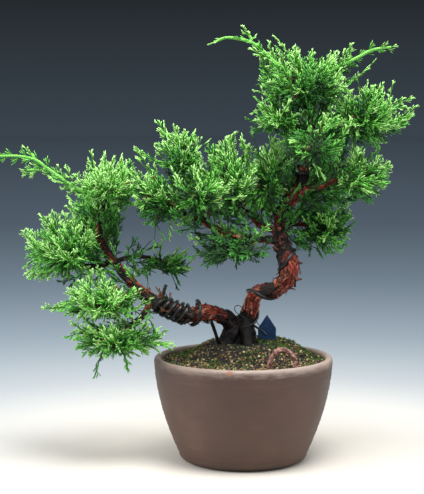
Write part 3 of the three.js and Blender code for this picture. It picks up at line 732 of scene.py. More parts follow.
def tube_faces(rings, sides):
    """Faces of a closed tube of rings, with a point at the middle of either end."""
    faces = []
    for i in range(rings - 1):
        for k in range(sides):
            a = i * sides + k
            b = i * sides + (k + 1) % sides
            faces.append((a, b, b + sides, a + sides))
    first = rings * sides
    last = (rings - 1) * sides
    for k in range(sides):
        faces.append((first, (k + 1) % sides, k))
        faces.append((first + 1, last + k, last + (k + 1) % sides))
    return faces


def add(tree, kind, feeds=None, **settings):
    """A node with its settings, whose sockets take a value or another node's socket."""
    node = tree.nodes.new(kind)
    for key, value in settings.items():
        setattr(node, key, value)
    for key, value in (feeds or {}).items():
        if isinstance(value, bpy.types.NodeSocket):
            tree.links.new(value, node.inputs[key])
        else:
            node.inputs[key].default_value = value
    return node


def new_tree(name, inputs):
    tree = bpy.data.node_groups.new(name, "GeometryNodeTree")
    tree.interface.new_socket("Geometry", in_out="INPUT", socket_type="NodeSocketGeometry")
    for label, kind in inputs.items():
        tree.interface.new_socket(label, in_out="INPUT", socket_type="NodeSocket" + kind)
    tree.interface.new_socket("Geometry", in_out="OUTPUT", socket_type="NodeSocketGeometry")
    return tree, tree.nodes.new("NodeGroupInput").outputs


def end_tree(tree, geometry, material):
    solid = add(tree, "GeometryNodeRealizeInstances", {"Geometry": geometry})
    coated = add(tree, "GeometryNodeSetMaterial", {"Geometry": solid.outputs[0], "Material": material})
    return coated.outputs[0]


def stored(tree, name, kind):
    return add(tree, "GeometryNodeInputNamedAttribute", {"Name": name}, data_type=kind).outputs[0]


def tube_tree():
    """Round tubes along the edges of a mesh whose points say how thick they are."""
    tree, given = new_tree("tubes_along_lines", {"Sides": "Int", "Finish": "Material"})
    line = add(tree, "GeometryNodeMeshToCurve", {"Mesh": given["Geometry"]})
    ring = add(tree, "GeometryNodeCurvePrimitiveCircle", {"Resolution": given["Sides"], "Radius": 1.0})
    tube = add(tree, "GeometryNodeCurveToMesh", {
        "Curve": line.outputs[0], "Profile Curve": ring.outputs[0],
        "Scale": stored(tree, "thick", "FLOAT"), "Fill Caps": True,
    })
    soft = add(tree, "GeometryNodeSetShadeSmooth", {"Geometry": tube.outputs[0]})
    add(tree, "NodeGroupOutput", {0: end_tree(tree, soft.outputs[0], given["Finish"])})
    return tree


def setting_tree():
    """Small shapes set on points that say which shape, how it is turned and how large it is."""
    tree, given = new_tree("shapes_on_points", {
        "Shapes": "Collection", "Finish": "Material", "Tip Finish": "Material",
    })
    shapes = add(tree, "GeometryNodeCollectionInfo", {
        "Collection": given["Shapes"], "Separate Children": True, "Reset Children": True,
    })
    put = add(tree, "GeometryNodeInstanceOnPoints", {
        "Points": given["Geometry"], "Instance": shapes.outputs[0], "Pick Instance": True,
        "Instance Index": stored(tree, "kind", "INT"), "Rotation": stored(tree, "turn", "QUATERNION"),
        "Scale": stored(tree, "size", "FLOAT"),
    })
    body = end_tree(tree, put.outputs[0], given["Finish"])
    tips = add(tree, "GeometryNodeSetMaterial", {
        "Geometry": body, "Selection": stored(tree, "tip", "BOOLEAN"), "Material": given["Tip Finish"],
    })
    add(tree, "NodeGroupOutput", {0: tips.outputs[0]})
    return tree


def scatter_tree():
    """Small shapes scattered over a surface, more of them where the surface says so."""
    tree, given = new_tree("shapes_over_surface", {
        "Shapes": "Collection", "Spacing": "Float", "Most": "Float", "Smallest": "Float",
        "Largest": "Float", "Seed": "Int", "Finish": "Material",
    })
    shapes = add(tree, "GeometryNodeCollectionInfo", {
        "Collection": given["Shapes"], "Separate Children": True, "Reset Children": True,
    })
    spread = add(tree, "GeometryNodeDistributePointsOnFaces", {
        "Mesh": given["Geometry"], "Distance Min": given["Spacing"], "Density Max": given["Most"],
        "Density Factor": stored(tree, "share", "FLOAT"), "Seed": given["Seed"],
    }, distribute_method="POISSON")
    size = add(tree, "FunctionNodeRandomValue", {
        2: given["Smallest"], 3: given["Largest"], "Seed": given["Seed"],
    }, data_type="FLOAT")
    turn = add(tree, "FunctionNodeRandomValue", {
        0: (-0.5, -0.5, 0.0), 1: (0.5, 0.5, 2 * math.pi), "Seed": given["Seed"],
    }, data_type="FLOAT_VECTOR")
    rolled = add(tree, "FunctionNodeEulerToRotation", {"Euler": turn.outputs[0]})
    upright = add(tree, "FunctionNodeRotateRotation", {
        "Rotation": spread.outputs["Rotation"], "Rotate By": rolled.outputs[0],
    }, rotation_space="LOCAL")
    pick = add(tree, "FunctionNodeRandomValue", {
        4: 0, 5: GROUND_SHAPES - 1, "Seed": given["Seed"],
    }, data_type="INT")
    put = add(tree, "GeometryNodeInstanceOnPoints", {
        "Points": spread.outputs["Points"], "Instance": shapes.outputs[0], "Pick Instance": True,
        "Instance Index": pick.outputs[2], "Rotation": upright.outputs[0], "Scale": size.outputs[1],
    })
    add(tree, "NodeGroupOutput", {0: end_tree(tree, put.outputs[0], given["Finish"])})
    return tree


def made_by(tree, name, mesh, **values):
    """Runs a tree on a mesh and keeps what it makes as a plain mesh at the origin."""
    piece = show(name, mesh)
    work = piece.modifiers.new("Make", "NODES")
    work.node_group = tree
    for item in tree.interface.items_tree:
        if item.in_out == "INPUT" and item.name in values:
            work[item.identifier] = values[item.name]
    graph = bpy.context.evaluated_depsgraph_get()
    made = bpy.data.meshes.new_from_object(
        piece.evaluated_get(graph), preserve_all_data_layers=True, depsgraph=graph)
    piece.modifiers.clear()
    piece.data = made
    made.name = name
    bpy.data.meshes.remove(mesh)
    return piece


def lines_mesh(name, paths):
    """A mesh of edges along several paths, each point with its thickness."""
    places = np.vstack([path.places for path in paths]) * MM
    thick = np.concatenate([path.radii for path in paths]) * MM
    edges = []
    first = 0
    for path in paths:
        count = len(path.places)
        edges.extend((first + i, first + i + 1) for i in range(count - 1))
        first += count
    mesh = bpy.data.meshes.new(name)
    mesh.from_pydata(places.tolist(), edges, [])
    mark(mesh, "thick", "FLOAT", "POINT", thick.astype(np.float32))
    return mesh


def points_mesh(name, places, turns, sizes, kinds):
    mesh = bpy.data.meshes.new(name)
    mesh.from_pydata((np.asarray(places) * MM).tolist(), [], [])
    mark(mesh, "turn", "QUATERNION", "POINT", np.asarray(turns, np.float32))
    mark(mesh, "size", "FLOAT", "POINT", (np.asarray(sizes) * MM).astype(np.float32))
    mark(mesh, "kind", "INT", "POINT", np.asarray(kinds, np.int32))
    return mesh


def shape_set(name, meshes):
    """A set of shapes that is not shown itself."""
    shapes = bpy.data.collections.new(name)
    for i, mesh in enumerate(meshes):
        shapes.objects.link(bpy.data.objects.new(f"{name}_{i}", mesh))
    return shapes


def turn_to(ahead, across):
    """The turn that brings +Z to a direction and +X as near as it can to another."""
    ahead = unit(ahead)
    across = unit(across - ahead * np.dot(across, ahead))
    rows = np.stack([across, np.cross(ahead, across), ahead], axis=1)
    return Matrix(rows.tolist()).to_quaternion()[:]


# Finishes

def tone(red, green, blue):
    """A colour from its values of 0 to 255, as a shader takes it."""
    values = np.array([red, green, blue]) / 255
    values = np.where(values > 0.04045, ((values + 0.055) / 1.055) ** 2.4, values / 12.92)
    return (*values.tolist(), 1.0)


def new_finish(name, roughness):
    material = bpy.data.materials.new(name)
    material.use_nodes = True
    shader = material.node_tree.nodes["Principled BSDF"]
    shader.inputs["Roughness"].default_value = roughness
    return material, material.node_tree, shader


def ramp(tree, feed, stops):
    """Colours from 0 to 255 at places along a value."""
    node = add(tree, "ShaderNodeValToRGB", {"Fac": feed})
    elements = node.color_ramp.elements
    elements.remove(elements[1])
    elements[0].position = stops[0][0]
    elements[0].color = tone(*stops[0][1])
    for place, colour in stops[1:]:
        elements.new(place).color = tone(*colour)
    return node.outputs["Color"]


def blend(tree, share, one, other):
    node = add(tree, "ShaderNodeMix", {0: share, 6: one, 7: other}, data_type="RGBA")
    return node.outputs[2]


def noise(tree, where, scale, detail=3.0, roughness=0.55):
    node = add(tree, "ShaderNodeTexNoise", {
        "Vector": where, "Scale": scale, "Detail": detail, "Roughness": roughness,
    })
    return node.outputs["Fac"]


def spread(tree, value, low, high, lowest=0.0, highest=1.0):
    node = add(tree, "ShaderNodeMapRange", {
        "Value": value, "From Min": low, "From Max": high, "To Min": lowest, "To Max": highest,
    }, interpolation_type="SMOOTHSTEP")
    return node.outputs["Result"]


def sums(tree, operation, one, other):
    return add(tree, "ShaderNodeMath", {0: one, 1: other}, operation=operation).outputs[0]


def stretched(tree, where, scale):
    return add(tree, "ShaderNodeMapping", {"Vector": where, "Scale": scale}).outputs[0]


def raise_bumps(tree, shader, height, depth, strength=1.0):
    bump = add(tree, "ShaderNodeBump", {"Height": height, "Distance": depth * MM, "Strength": strength})
    tree.links.new(bump.outputs[0], shader.inputs["Normal"])


def own_place(tree):
    return add(tree, "ShaderNodeTexCoord").outputs["Object"]


def clay_finish():
    """Brown clay with throwing lines and specks, a pale rim top that is partly wear and partly painted
    highlight, painted shadow at its foot and red in the chip.
    """
    material, tree, shader = new_finish("unglazed_brown_clay", 0.6)
    where = own_place(tree)
    axes = add(tree, "ShaderNodeSeparateXYZ", {"Vector": where})
    height = axes.outputs["Z"]
    blotches = noise(tree, where, 45.0, 4.0)
    grain = noise(tree, where, 1400.0, 2.0)
    lines = noise(tree, stretched(tree, where, (6.0, 6.0, 420.0)), 1.0, 3.0)
    body = ramp(tree, blotches, [
        (0.3, (71, 49, 40)), (0.5, (77, 55, 45)), (0.7, (87, 64, 54)),
    ])
    body = blend(tree, spread(tree, lines, 0.4, 0.7, 0.0, 0.16), body, tone(69, 50, 42))
    specks = add(tree, "ShaderNodeTexVoronoi", {"Vector": where, "Scale": 95.0}).outputs["Distance"]
    body = blend(tree, spread(tree, specks, 0.03, 0.07, 0.6, 0.0), body, tone(60, 45, 38))
    # Pale band on top of the rim, broken by streaks and fainter to the left: partly worn lime bloom, partly
    # painted highlight on the rim's upper side
    worn = noise(tree, stretched(tree, where, (110.0, 110.0, 380.0)), 1.0, 5.0, 0.7)
    bloom_and_highlight = spread(tree, sums(tree, "ADD", height, sums(tree, "MULTIPLY", worn, 0.009)), 0.068, 0.0745)
    bloom_and_highlight = sums(tree, "MULTIPLY", bloom_and_highlight, spread(tree, axes.outputs["X"], -0.055, 0.01, 0.4, 0.85))
    body = blend(tree, bloom_and_highlight, body, tone(158, 140, 129))
    # Painted contact shadow: the clay darkens over its lowest 7 mm, down to where the pot stands on the
    # floor
    foot = spread(tree, height, 0.0, 0.007, 0.55, 0.0)
    body = blend(tree, foot, body, tone(62, 51, 46))
    chip = add(tree, "ShaderNodeVectorMath", {
        0: where, 1: [value * MM for value in RIM_CHIP],
    }, operation="DISTANCE").outputs["Value"]
    chip = sums(tree, "ADD", chip, sums(tree, "MULTIPLY", worn, 0.003))
    body = blend(tree, spread(tree, chip, 0.0024, 0.0046, 0.8, 0.0), body, tone(134, 82, 58))
    tree.links.new(body, shader.inputs["Base Color"])
    rough = spread(tree, blotches, 0.3, 0.7, 0.48, 0.66)
    tree.links.new(rough, shader.inputs["Roughness"])
    raised = sums(tree, "ADD", sums(tree, "MULTIPLY", lines, 0.6), sums(tree, "MULTIPLY", grain, 0.5))
    raise_bumps(tree, shader, raised, 0.2, 0.35)
    return material


def bark_finish():
    """Plates of bark, dark where they still hold and red where they have come off, their cracks darkened:
    partly dark inner bark, partly painted shade.
    """
    material, tree, shader = new_finish("flaking_red_bark", 0.7)
    shader.inputs["Specular IOR Level"].default_value = 0.25
    lie = add(tree, "ShaderNodeAttribute", attribute_name="lie").outputs["Vector"]
    crack_shade = add(tree, "ShaderNodeAttribute", attribute_name="crack_shade").outputs["Fac"]
    patch = add(tree, "ShaderNodeAttribute", attribute_name="patch").outputs["Fac"]
    deal = add(tree, "ShaderNodeAttribute", attribute_name="deal").outputs["Fac"]
    fine = noise(tree, lie, 1.0, 4.0, 0.75)
    shade = sums(tree, "ADD", fine, spread(tree, deal, 0.0, 1.0, -0.11, 0.11))
    # The palest red stop is painted highlight, scattered over the red bark by the noise
    red = ramp(tree, shade, [
        (0.32, (40, 14, 12)), (0.45, (120, 41, 29)), (0.56, (174, 76, 52)), (0.68, (234, 170, 138)),
    ])
    dull = ramp(tree, shade, [
        (0.3, (6, 5, 5)), (0.5, (14, 11, 11)), (0.66, (40, 29, 26)), (0.8, (112, 86, 77)),
    ])
    skin = blend(tree, spread(tree, patch, 0.4, 0.6), dull, red)
    # Cracks between the plates darken towards near-black: painted shade in the crevices, besides the darker
    # bark inside them
    skin = blend(tree, spread(tree, crack_shade, 0.4, 1.0, 0.0, 0.7), skin, tone(14, 10, 10))
    tree.links.new(skin, shader.inputs["Base Color"])
    tree.links.new(spread(tree, fine, 0.3, 0.7, 0.4, 0.7), shader.inputs["Roughness"])
    raise_bumps(tree, shader, fine, 1.2, 0.8)
    return material


def grained_finish(name, roughness, stops, grain, relief, fine=None, gloss=None):
    """Colours that follow a grain, with relief and, where it is worn, a change of gloss.

    The grain is a scale, its detail and its roughness, the relief a depth and a strength.
    """
    material, tree, shader = new_finish(name, roughness)
    where = own_place(tree)
    scale, detail, coarse = grain
    if isinstance(scale, tuple):
        pattern = noise(tree, stretched(tree, where, scale), 1.0, detail, coarse)
    else:
        pattern = noise(tree, where, scale, detail, coarse)
    tree.links.new(ramp(tree, pattern, stops), shader.inputs["Base Color"])
    if gloss:
        tree.links.new(spread(tree, pattern, 0.3, 0.7, *gloss), shader.inputs["Roughness"])
    height = noise(tree, where, fine) if fine else pattern
    raise_bumps(tree, shader, height, *relief)
    return material


def twig_finish():
    return grained_finish("young_brown_twig", 0.65, [
        (0.32, (70, 42, 28)), (0.5, (122, 74, 44)), (0.68, (150, 104, 66)),
    ], (420.0, 3.0, 0.55), (0.2, 0.5), fine=1600.0)


def wire_finish():
    return grained_finish("dark_training_wire", 0.32, [
        (0.35, (7, 6, 6)), (0.55, (14, 13, 13)), (0.75, (38, 35, 34)),
    ], (260.0, 4.0, 0.6), (0.1, 0.4), fine=1500.0, gloss=(0.25, 0.45))


def label_finish():
    return grained_finish("blue_label_plastic", 0.4, [
        (0.35, (22, 52, 92)), (0.55, (30, 66, 110)), (0.75, (64, 102, 146)),
    ], ((400.0, 400.0, 1800.0), 3.0, 0.55), (0.08, 0.4), gloss=(0.34, 0.5))


def arch_finish():
    return grained_finish("mottled_root", 0.7, [
        (0.32, (44, 28, 24)), (0.46, (112, 72, 62)), (0.58, (168, 124, 112)), (0.7, (84, 52, 44)),
    ], ((500.0, 500.0, 900.0), 3.0, 0.55), (0.4, 0.6))


def ground_finish(name, stops, scale, depth):
    return grained_finish(name, 0.92, stops, (scale, 4.0, 0.6), (depth, 0.8), fine=3 * scale)


def leaf_finish(name, colour):
    material, _, shader = new_finish(name, 0.55)
    shader.inputs["Specular IOR Level"].default_value = 0.25
    shader.inputs["Base Color"].default_value = tone(*colour)
    return material


# Pot, soil, label and root

def belly(z):
    return POT_RADIUS - BELLY_DROP * (1 - z / POT_HEIGHT) ** BELLY_POWER


def inside(z):
    return belly(z) - POT_WALL


def make_pot():
    """The bowl turned on its axis, with the faint rings of throwing and a chip at the rim."""
    heel = belly(HEEL_HEIGHT) - FOOT_RADIUS
    turns = np.linspace(0, math.pi / 2, HEEL_STEPS)
    profile = [[UNDERSIDE_SHARE * FOOT_RADIUS, 0.0]]
    profile += [[FOOT_RADIUS + heel * math.sin(t), HEEL_HEIGHT * (1 - math.cos(t))] for t in turns]
    rim = POT_HEIGHT - POT_WALL / 2
    for z in np.linspace(HEEL_HEIGHT, rim, BELLY_STEPS)[1:-1]:
        ripple = RIPPLE * math.sin(2 * math.pi * z / RIPPLE_PITCH + math.sin(z))
        profile.append([belly(z) + ripple, z])
    middle = belly(rim) - POT_WALL / 2
    for t in np.linspace(0, math.pi, RIM_STEPS):
        profile.append([middle + POT_WALL / 2 * math.cos(t), rim + POT_WALL / 2 * math.sin(t)])
    profile += [[inside(z), z] for z in np.linspace(rim, POT_FLOOR, WALL_STEPS)[1:]]
    profile = np.array(profile)
    angles = np.linspace(0, 2 * math.pi, POT_SEGMENTS, endpoint=False)
    wobble = 1 + OVAL_DEPTH * np.sin(2 * angles + 0.6) + TRIPLE_DEPTH * np.sin(3 * angles + 2.0)
    lift = smoothstep(profile[:, 1], WOBBLE_FROM, WOBBLE_FULL)[:, None]
    across = profile[:, :1] * (1 + (wobble - 1)[None, :] * lift)
    places = np.stack([
        across * np.cos(angles), across * np.sin(angles),
        np.repeat(profile[:, 1:], POT_SEGMENTS, axis=1),
    ], axis=2).reshape(-1, 3)
    away = np.linalg.norm(places - np.array(RIM_CHIP), axis=1)
    inward = -places * np.array([1, 1, 0])
    inward /= np.linalg.norm(inward, axis=1)[:, None]
    places = places + inward * (CHIP_DEPTH * (1 - smoothstep(away, CHIP_CORE, CHIP_RADIUS)))[:, None]
    places = np.vstack([places, [[0, 0, 0], [0, 0, POT_FLOOR]]])
    pot = show("thrown_pot", mesh_of("thrown_pot", places, tube_faces(len(profile), POT_SEGMENTS)))
    pot.data.materials.append(clay_finish())
    settle(pot, "clay", "pot")


def soil_height(x, y):
    """Lumpy soil that rises to a mound under the trunk, as in the solid."""
    away = np.hypot(x - MOUND_X, y - MOUND_Y)
    lump = np.sin(2 * math.pi * x / LUMP_SPACING) * np.sin(2 * math.pi * y / LUMP_SPACING)
    foot = SOIL_EDGE + LUMP_HEIGHT * lump
    return MOUND_TOP + (foot - MOUND_TOP) * smoothstep(away, MOUND_FLAT, MOUND_FOOT)


def pebble(seed, flat):
    """A stone of twenty faces, knocked out of round."""
    rng = np.random.default_rng(seed)
    g = (1 + math.sqrt(5)) / 2
    corners = np.array([
        [-1, g, 0], [1, g, 0], [-1, -g, 0], [1, -g, 0], [0, -1, g], [0, 1, g],
        [0, -1, -g], [0, 1, -g], [g, 0, -1], [g, 0, 1], [-g, 0, -1], [-g, 0, 1],
    ], float)
    corners /= np.linalg.norm(corners[0])
    corners *= rng.uniform(0.72, 1.15, (12, 1)) * np.array([1.0, rng.uniform(0.7, 1.0), flat])
    faces = [
        (0, 11, 5), (0, 5, 1), (0, 1, 7), (0, 7, 10), (0, 10, 11), (1, 5, 9), (5, 11, 4), (11, 10, 2),
        (10, 7, 6), (7, 1, 8), (3, 9, 4), (3, 4, 2), (3, 2, 6), (3, 6, 8), (3, 8, 9), (4, 9, 5),
        (2, 4, 11), (6, 2, 10), (8, 6, 7), (9, 8, 1),
    ]
    return mesh_of(f"pebble_{seed}", corners / MM, faces, smooth=False)


def moss_tuft(seed):
    """A few pointed leaves standing out from one foot."""
    rng = np.random.default_rng(seed)
    places = []
    faces = []
    for i in range(MOSS_LEAVES):
        turn = GOLDEN_ANGLE * i + rng.uniform(-0.3, 0.3)
        lean = 0.15 + 0.12 * i
        out = np.array([math.cos(turn) * math.sin(lean), math.sin(turn) * math.sin(lean), math.cos(lean)])
        side = np.cross(out, UP) if i else np.array([1.0, 0.0, 0.0])
        side = unit(side) * 0.2
        back = unit(np.cross(out, side)) * 0.2
        base = len(places)
        root = out * 0.1 - UP * 0.1
        places += [root + side, root - 0.5 * side + back, root - 0.5 * side - back]
        places.append(out * rng.uniform(0.8, 1.2))
        faces += [(base, base + 1, base + 3), (base + 1, base + 2, base + 3), (base + 2, base, base + 3),
                  (base, base + 2, base + 1)]
    return mesh_of(f"moss_{seed}", np.array(places) / MM, faces, smooth=False)


def make_soil(scatter):
    """Earth up to a low mound, with grit and moss on it."""
    rng = np.random.default_rng(5)
    coarse = rng.random((40, 40))
    fine = rng.random((90, 90))
    edge = inside(SOIL_EDGE) + SOIL_LAP
    rings = np.linspace(1, 0, SOIL_RINGS + 1)[:-1] ** 0.8
    angles = np.linspace(0, 2 * math.pi, SOIL_SEGMENTS, endpoint=False)
    x = edge * rings[:, None] * np.cos(angles)
    y = edge * rings[:, None] * np.sin(angles)

    def lie(x, y):
        clods = soft_noise(coarse, x / COARSE_SPACING + 20, y / COARSE_SPACING + 20) - 0.5
        crumbs = soft_noise(fine, x / FINE_SPACING, y / FINE_SPACING) - 0.5
        return soil_height(x, y) + SOIL_ROUGH * (clods + FINE_SHARE * crumbs)

    top = np.stack([x, y, lie(x, y)], axis=2)
    skirt = top[:1].copy()
    skirt[..., :2] *= inside(SOIL_EDGE - SOIL_DEPTH) / edge - SKIRT_EASE
    skirt[..., 2] = SOIL_EDGE - SOIL_DEPTH
    places = np.concatenate([skirt, top]).reshape(-1, 3)
    middles = [[0, 0, SOIL_EDGE - SOIL_DEPTH], [0, 0, float(lie(np.zeros(1), np.zeros(1))[0])]]
    places = np.vstack([places, middles])
    bed = show("soil_bed", mesh_of("soil_bed", places, tube_faces(SOIL_RINGS + 1, SOIL_SEGMENTS)))
    bed.data.materials.append(ground_finish("dark_potting_earth", [
        (0.3, (10, 9, 6)), (0.5, (24, 22, 14)), (0.7, (50, 46, 31)),
    ], 500.0, 0.6))
    settle(bed, "earth", "soil")

    surface = np.vstack([top.reshape(-1, 3), [middles[1]]])
    faces = tube_faces(SOIL_RINGS, SOIL_SEGMENTS)
    last = SOIL_RINGS * SOIL_SEGMENTS
    faces = [tuple(last if i > last else i for i in face) for face in faces if last not in face]
    px, py = surface[:, 0], surface[:, 1]
    clumps = soft_noise(coarse, px / CLUMP_SPACING + 7, py / CLUMP_SPACING + 3)
    patches = sum(np.exp(-((px - x) ** 2 + (py - y) ** 2) / r ** 2) for x, y, r in MOSS_PATCHES)
    # Pale grit thins out towards the trunk's foot: partly darker earth, partly painted shade under the
    # trunk
    beyond_trunk_shade = smoothstep(np.hypot(px - TRUNK_FOOT[0], py - TRUNK_FOOT[1]), TRUNK_SHADE_FADES_FROM, TRUNK_SHADE_GONE_AT)
    shares = {
        "tan_grit": (0.2 + 0.7 * clumps) * beyond_trunk_shade,
        "brown_grit": 0.25 + 0.75 * beyond_trunk_shade,
        "dark_grit": np.ones(len(px)),
        "moss": np.clip(0.4 * smoothstep(clumps, 0.55, 0.75) + 1.6 * patches, 0, 1),
    }
    stones = shape_set("pebbles", [pebble(60 + i, PEBBLE_FLAT) for i in range(GROUND_SHAPES)])
    tufts = shape_set("moss_tufts", [moss_tuft(80 + i) for i in range(GROUND_SHAPES)])
    for name, cover in COVER.items():
        mesh = mesh_of(name, surface, faces)
        mark(mesh, "share", "FLOAT", "POINT", shares[name].astype(np.float32))
        smallest, largest = cover["size"]
        finish = ground_finish(cover["finish"], cover["stops"], cover["grain"], COVER_RELIEF)
        piece = made_by(
            scatter, name, mesh, Shapes=tufts if name == "moss" else stones, Seed=cover["seed"],
            Spacing=cover["spacing"] * MM, Most=cover["most"] / MM ** 2, Smallest=smallest * MM,
            Largest=largest * MM, Finish=finish)
        settle(piece, "earth")


def make_label():
    """A bare pointed plate with eased edges, its foot in the soil."""
    half = LABEL_WIDTH / 2
    outline = [
        (-half, -LABEL_SUNK), (half, -LABEL_SUNK), (half, LABEL_SHOULDER), (0, LABEL_HEIGHT),
        (-half, LABEL_SHOULDER),
    ]
    places = []
    for depth in (-LABEL_THICK, 0):
        places += [[LABEL_PLACE[0] + x, LABEL_PLACE[1] + depth, MOUND_TOP + z] for x, z in outline]
    faces = [tuple(range(5)), tuple(range(9, 4, -1))]
    faces += [(k, k + 5, (k + 1) % 5 + 5, (k + 1) % 5) for k in range(5)]
    label = show("bare_label", mesh_of("bare_label", places, faces, smooth=False))
    ease = label.modifiers.new("Ease", "BEVEL")
    ease.width = LABEL_EASE * MM
    ease.segments = 3
    label.data.materials.append(label_finish())
    settle(label, "label", "plant_label")


def ringed(path, sides, radii):
    """Points of a tube round a path; the radii are given for each ring and side."""
    normals, others = path.frames()
    angles = np.linspace(0, 2 * math.pi, sides, endpoint=False)
    out = normals[:, None, :] * np.cos(angles)[None, :, None]
    out = out + others[:, None, :] * np.sin(angles)[None, :, None]
    return path.places[:, None, :] + out * radii[:, :, None]


def make_arch():
    """A knotty root that loops out of the soil and back into it."""
    x, y, z = ARCH_MIDDLE
    path = through([
        [x + ARCH_SPAN * math.cos(t), y + ARCH_SWAY * math.sin(2 * t), z + ARCH_RISE * math.sin(t)]
        for t in np.linspace(math.pi * (1 + ARCH_OVERRUN), -math.pi * ARCH_OVERRUN, 11)
    ], ARCH_STEPS)
    knots = np.random.default_rng(8).random(ARCH_KNOTS)
    down = np.linspace(0, ARCH_KNOTS[0] - 1, ARCH_STEPS + 1)[:, None]
    across = np.linspace(0, ARCH_KNOTS[1], ARCH_SIDES, endpoint=False)[None, :]
    radii = ARCH_RADIUS * (0.84 + 0.5 * soft_noise(knots, down + 0 * across, across + 0 * down))
    rings = ringed(path, ARCH_SIDES, radii)
    places = np.vstack([rings.reshape(-1, 3), path.places[:1], path.places[-1:]])
    arch = show("looped_root", mesh_of("looped_root", places, tube_faces(ARCH_STEPS + 1, ARCH_SIDES)))
    arch.data.materials.append(arch_finish())
    settle(arch, "bark", "root_arch")


# Trunks and boughs

def bark_plates(rng, run, around, girth):
    """Long plates all over a limb's skin: their height, how near a crack is and each one's own chance."""
    count = max(PLATES_LEAST, int(run[-1, 0] * girth / PLATE_AREA))
    middles = rng.uniform(0, run[-1, 0], count)
    turns = rng.random(count)
    chances = rng.random(count)
    along = (run[:, :, None] - middles) / PLATE_STRETCH
    across = ((around[:, :, None] - turns + 0.5) % 1 - 0.5) * girth
    far = np.sqrt(along ** 2 + across ** 2)
    order = np.argsort(far, axis=2)[:, :, :2]
    near = np.take_along_axis(far, order, axis=2)
    crack = 1 - smoothstep(near[..., 1] - near[..., 0], 0.0, CRACK_WIDTH)
    lift = np.take_along_axis(along + 0 * across, order[..., :1], axis=2)[..., 0]
    chance = chances[order[..., 0]]
    return 0.6 * chance + 0.4 * np.clip(0.5 + 0.35 * lift, 0, 1), crack, chance


def bark_rings(path, sides, seed, redness):
    """Points of a limb under plates of bark, and what its finish needs at each point."""
    rng = np.random.default_rng(seed)
    run = np.linspace(0, path.length, len(path.places))[:, None]
    around = np.linspace(0, 1, sides, endpoint=False)[None, :]
    turned = around + BARK_TWIST * run
    swells = soft_noise(rng.random((60, 4)), run / SWELL_RUN + 0 * around, 4 * turned) - 0.5
    patch = soft_noise(rng.random((60, 3)), run / PATCH_RUN + 0 * around, 3 * around + 0 * run)
    radius = path.radii[:, None]
    height, crack, chance = bark_plates(rng, run, turned, 2 * math.pi * float(np.median(path.radii)))
    depth = np.clip(BARK_RELIEF * radius, RELIEF_LEAST, RELIEF_MOST)
    radii = radius * (1 + SWELL_SHARE * swells) + depth * (1.3 * height - 0.55 - 0.45 * crack)
    rings = ringed(path, sides, radii)
    red = np.clip(1.7 * (patch - 0.5) + redness(run / path.length) + 0.8 * (0.5 - chance) + 0.2, 0, 1)
    turns = 2 * math.pi * turned
    along = 0.3 * run + 0 * around + 31 * seed
    lie = np.stack([radius * np.cos(turns), radius * np.sin(turns), along], axis=2)
    return rings, crack, red, chance, lie


def bark_piece(name, limbs, seed, nodes, finish):
    """One mesh of several limbs, each a closed tube."""
    places, faces, lies = [], [], []
    # The cracks go to the finish, which darkens them partly as painted shade
    marks = {"crack_shade": [], "patch": [], "deal": []}
    for i, (path, sides, redness) in enumerate(limbs):
        rings, *values, lie = bark_rings(path, sides, seed + i, redness)
        first = len(places)
        places.extend(rings.reshape(-1, 3))
        places.extend([path.places[0], path.places[-1] + 0.5 * path.ways[-1] * path.radii[-1]])
        faces.extend(tuple(first + k for k in face) for face in tube_faces(len(rings), sides))
        for value, rows in zip(values, marks.values()):
            rows.extend([*value.ravel(), 0.5, 0.5])
        lies.append(np.vstack([lie.reshape(-1, 3), lie[0, :1], lie[-1, :1]]))
    mesh = mesh_of(name, places, faces)
    for mark_name, rows in marks.items():
        mark(mesh, mark_name, "FLOAT", "POINT", np.array(rows, np.float32))
    mark(mesh, "lie", "FLOAT_VECTOR", "POINT", np.vstack(lies).astype(np.float32))
    mesh.materials.append(finish)
    settle(show(name, mesh), "bark", *nodes)


def rooted(points, deep):
    """A trunk's middle points carried down into the soil."""
    first = list(points[0])
    return [[first[0], first[1], first[2] - deep, first[3] * 1.15]] + points


def redder(stops):
    """How red a limb is at a share of its length."""
    places, values = zip(*stops)
    return lambda share: np.interp(share, places, values)


def bark_flake(width, curl):
    """A thin strip of bark, held at one end and curling out at the other."""
    places = []
    for i, (along, out) in enumerate([(0, 0), (0.4, 0.15), (0.75, 0.48), (1, 1)]):
        half = width * (1 - 0.35 * i / 3)
        for side, top in ((-1, 0), (1, 0), (1, 1), (-1, 1)):
            places.append([side * half, curl * out + 0.07 * top, along])
    faces = [(3, 2, 1, 0), (12, 13, 14, 15)]
    for i in range(3):
        for k in range(4):
            a = 4 * i + k
            b = 4 * i + (k + 1) % 4
            faces.append((a, b, b + 4, a + 4))
    return mesh_of("bark_flake", np.array(places) / MM, faces)


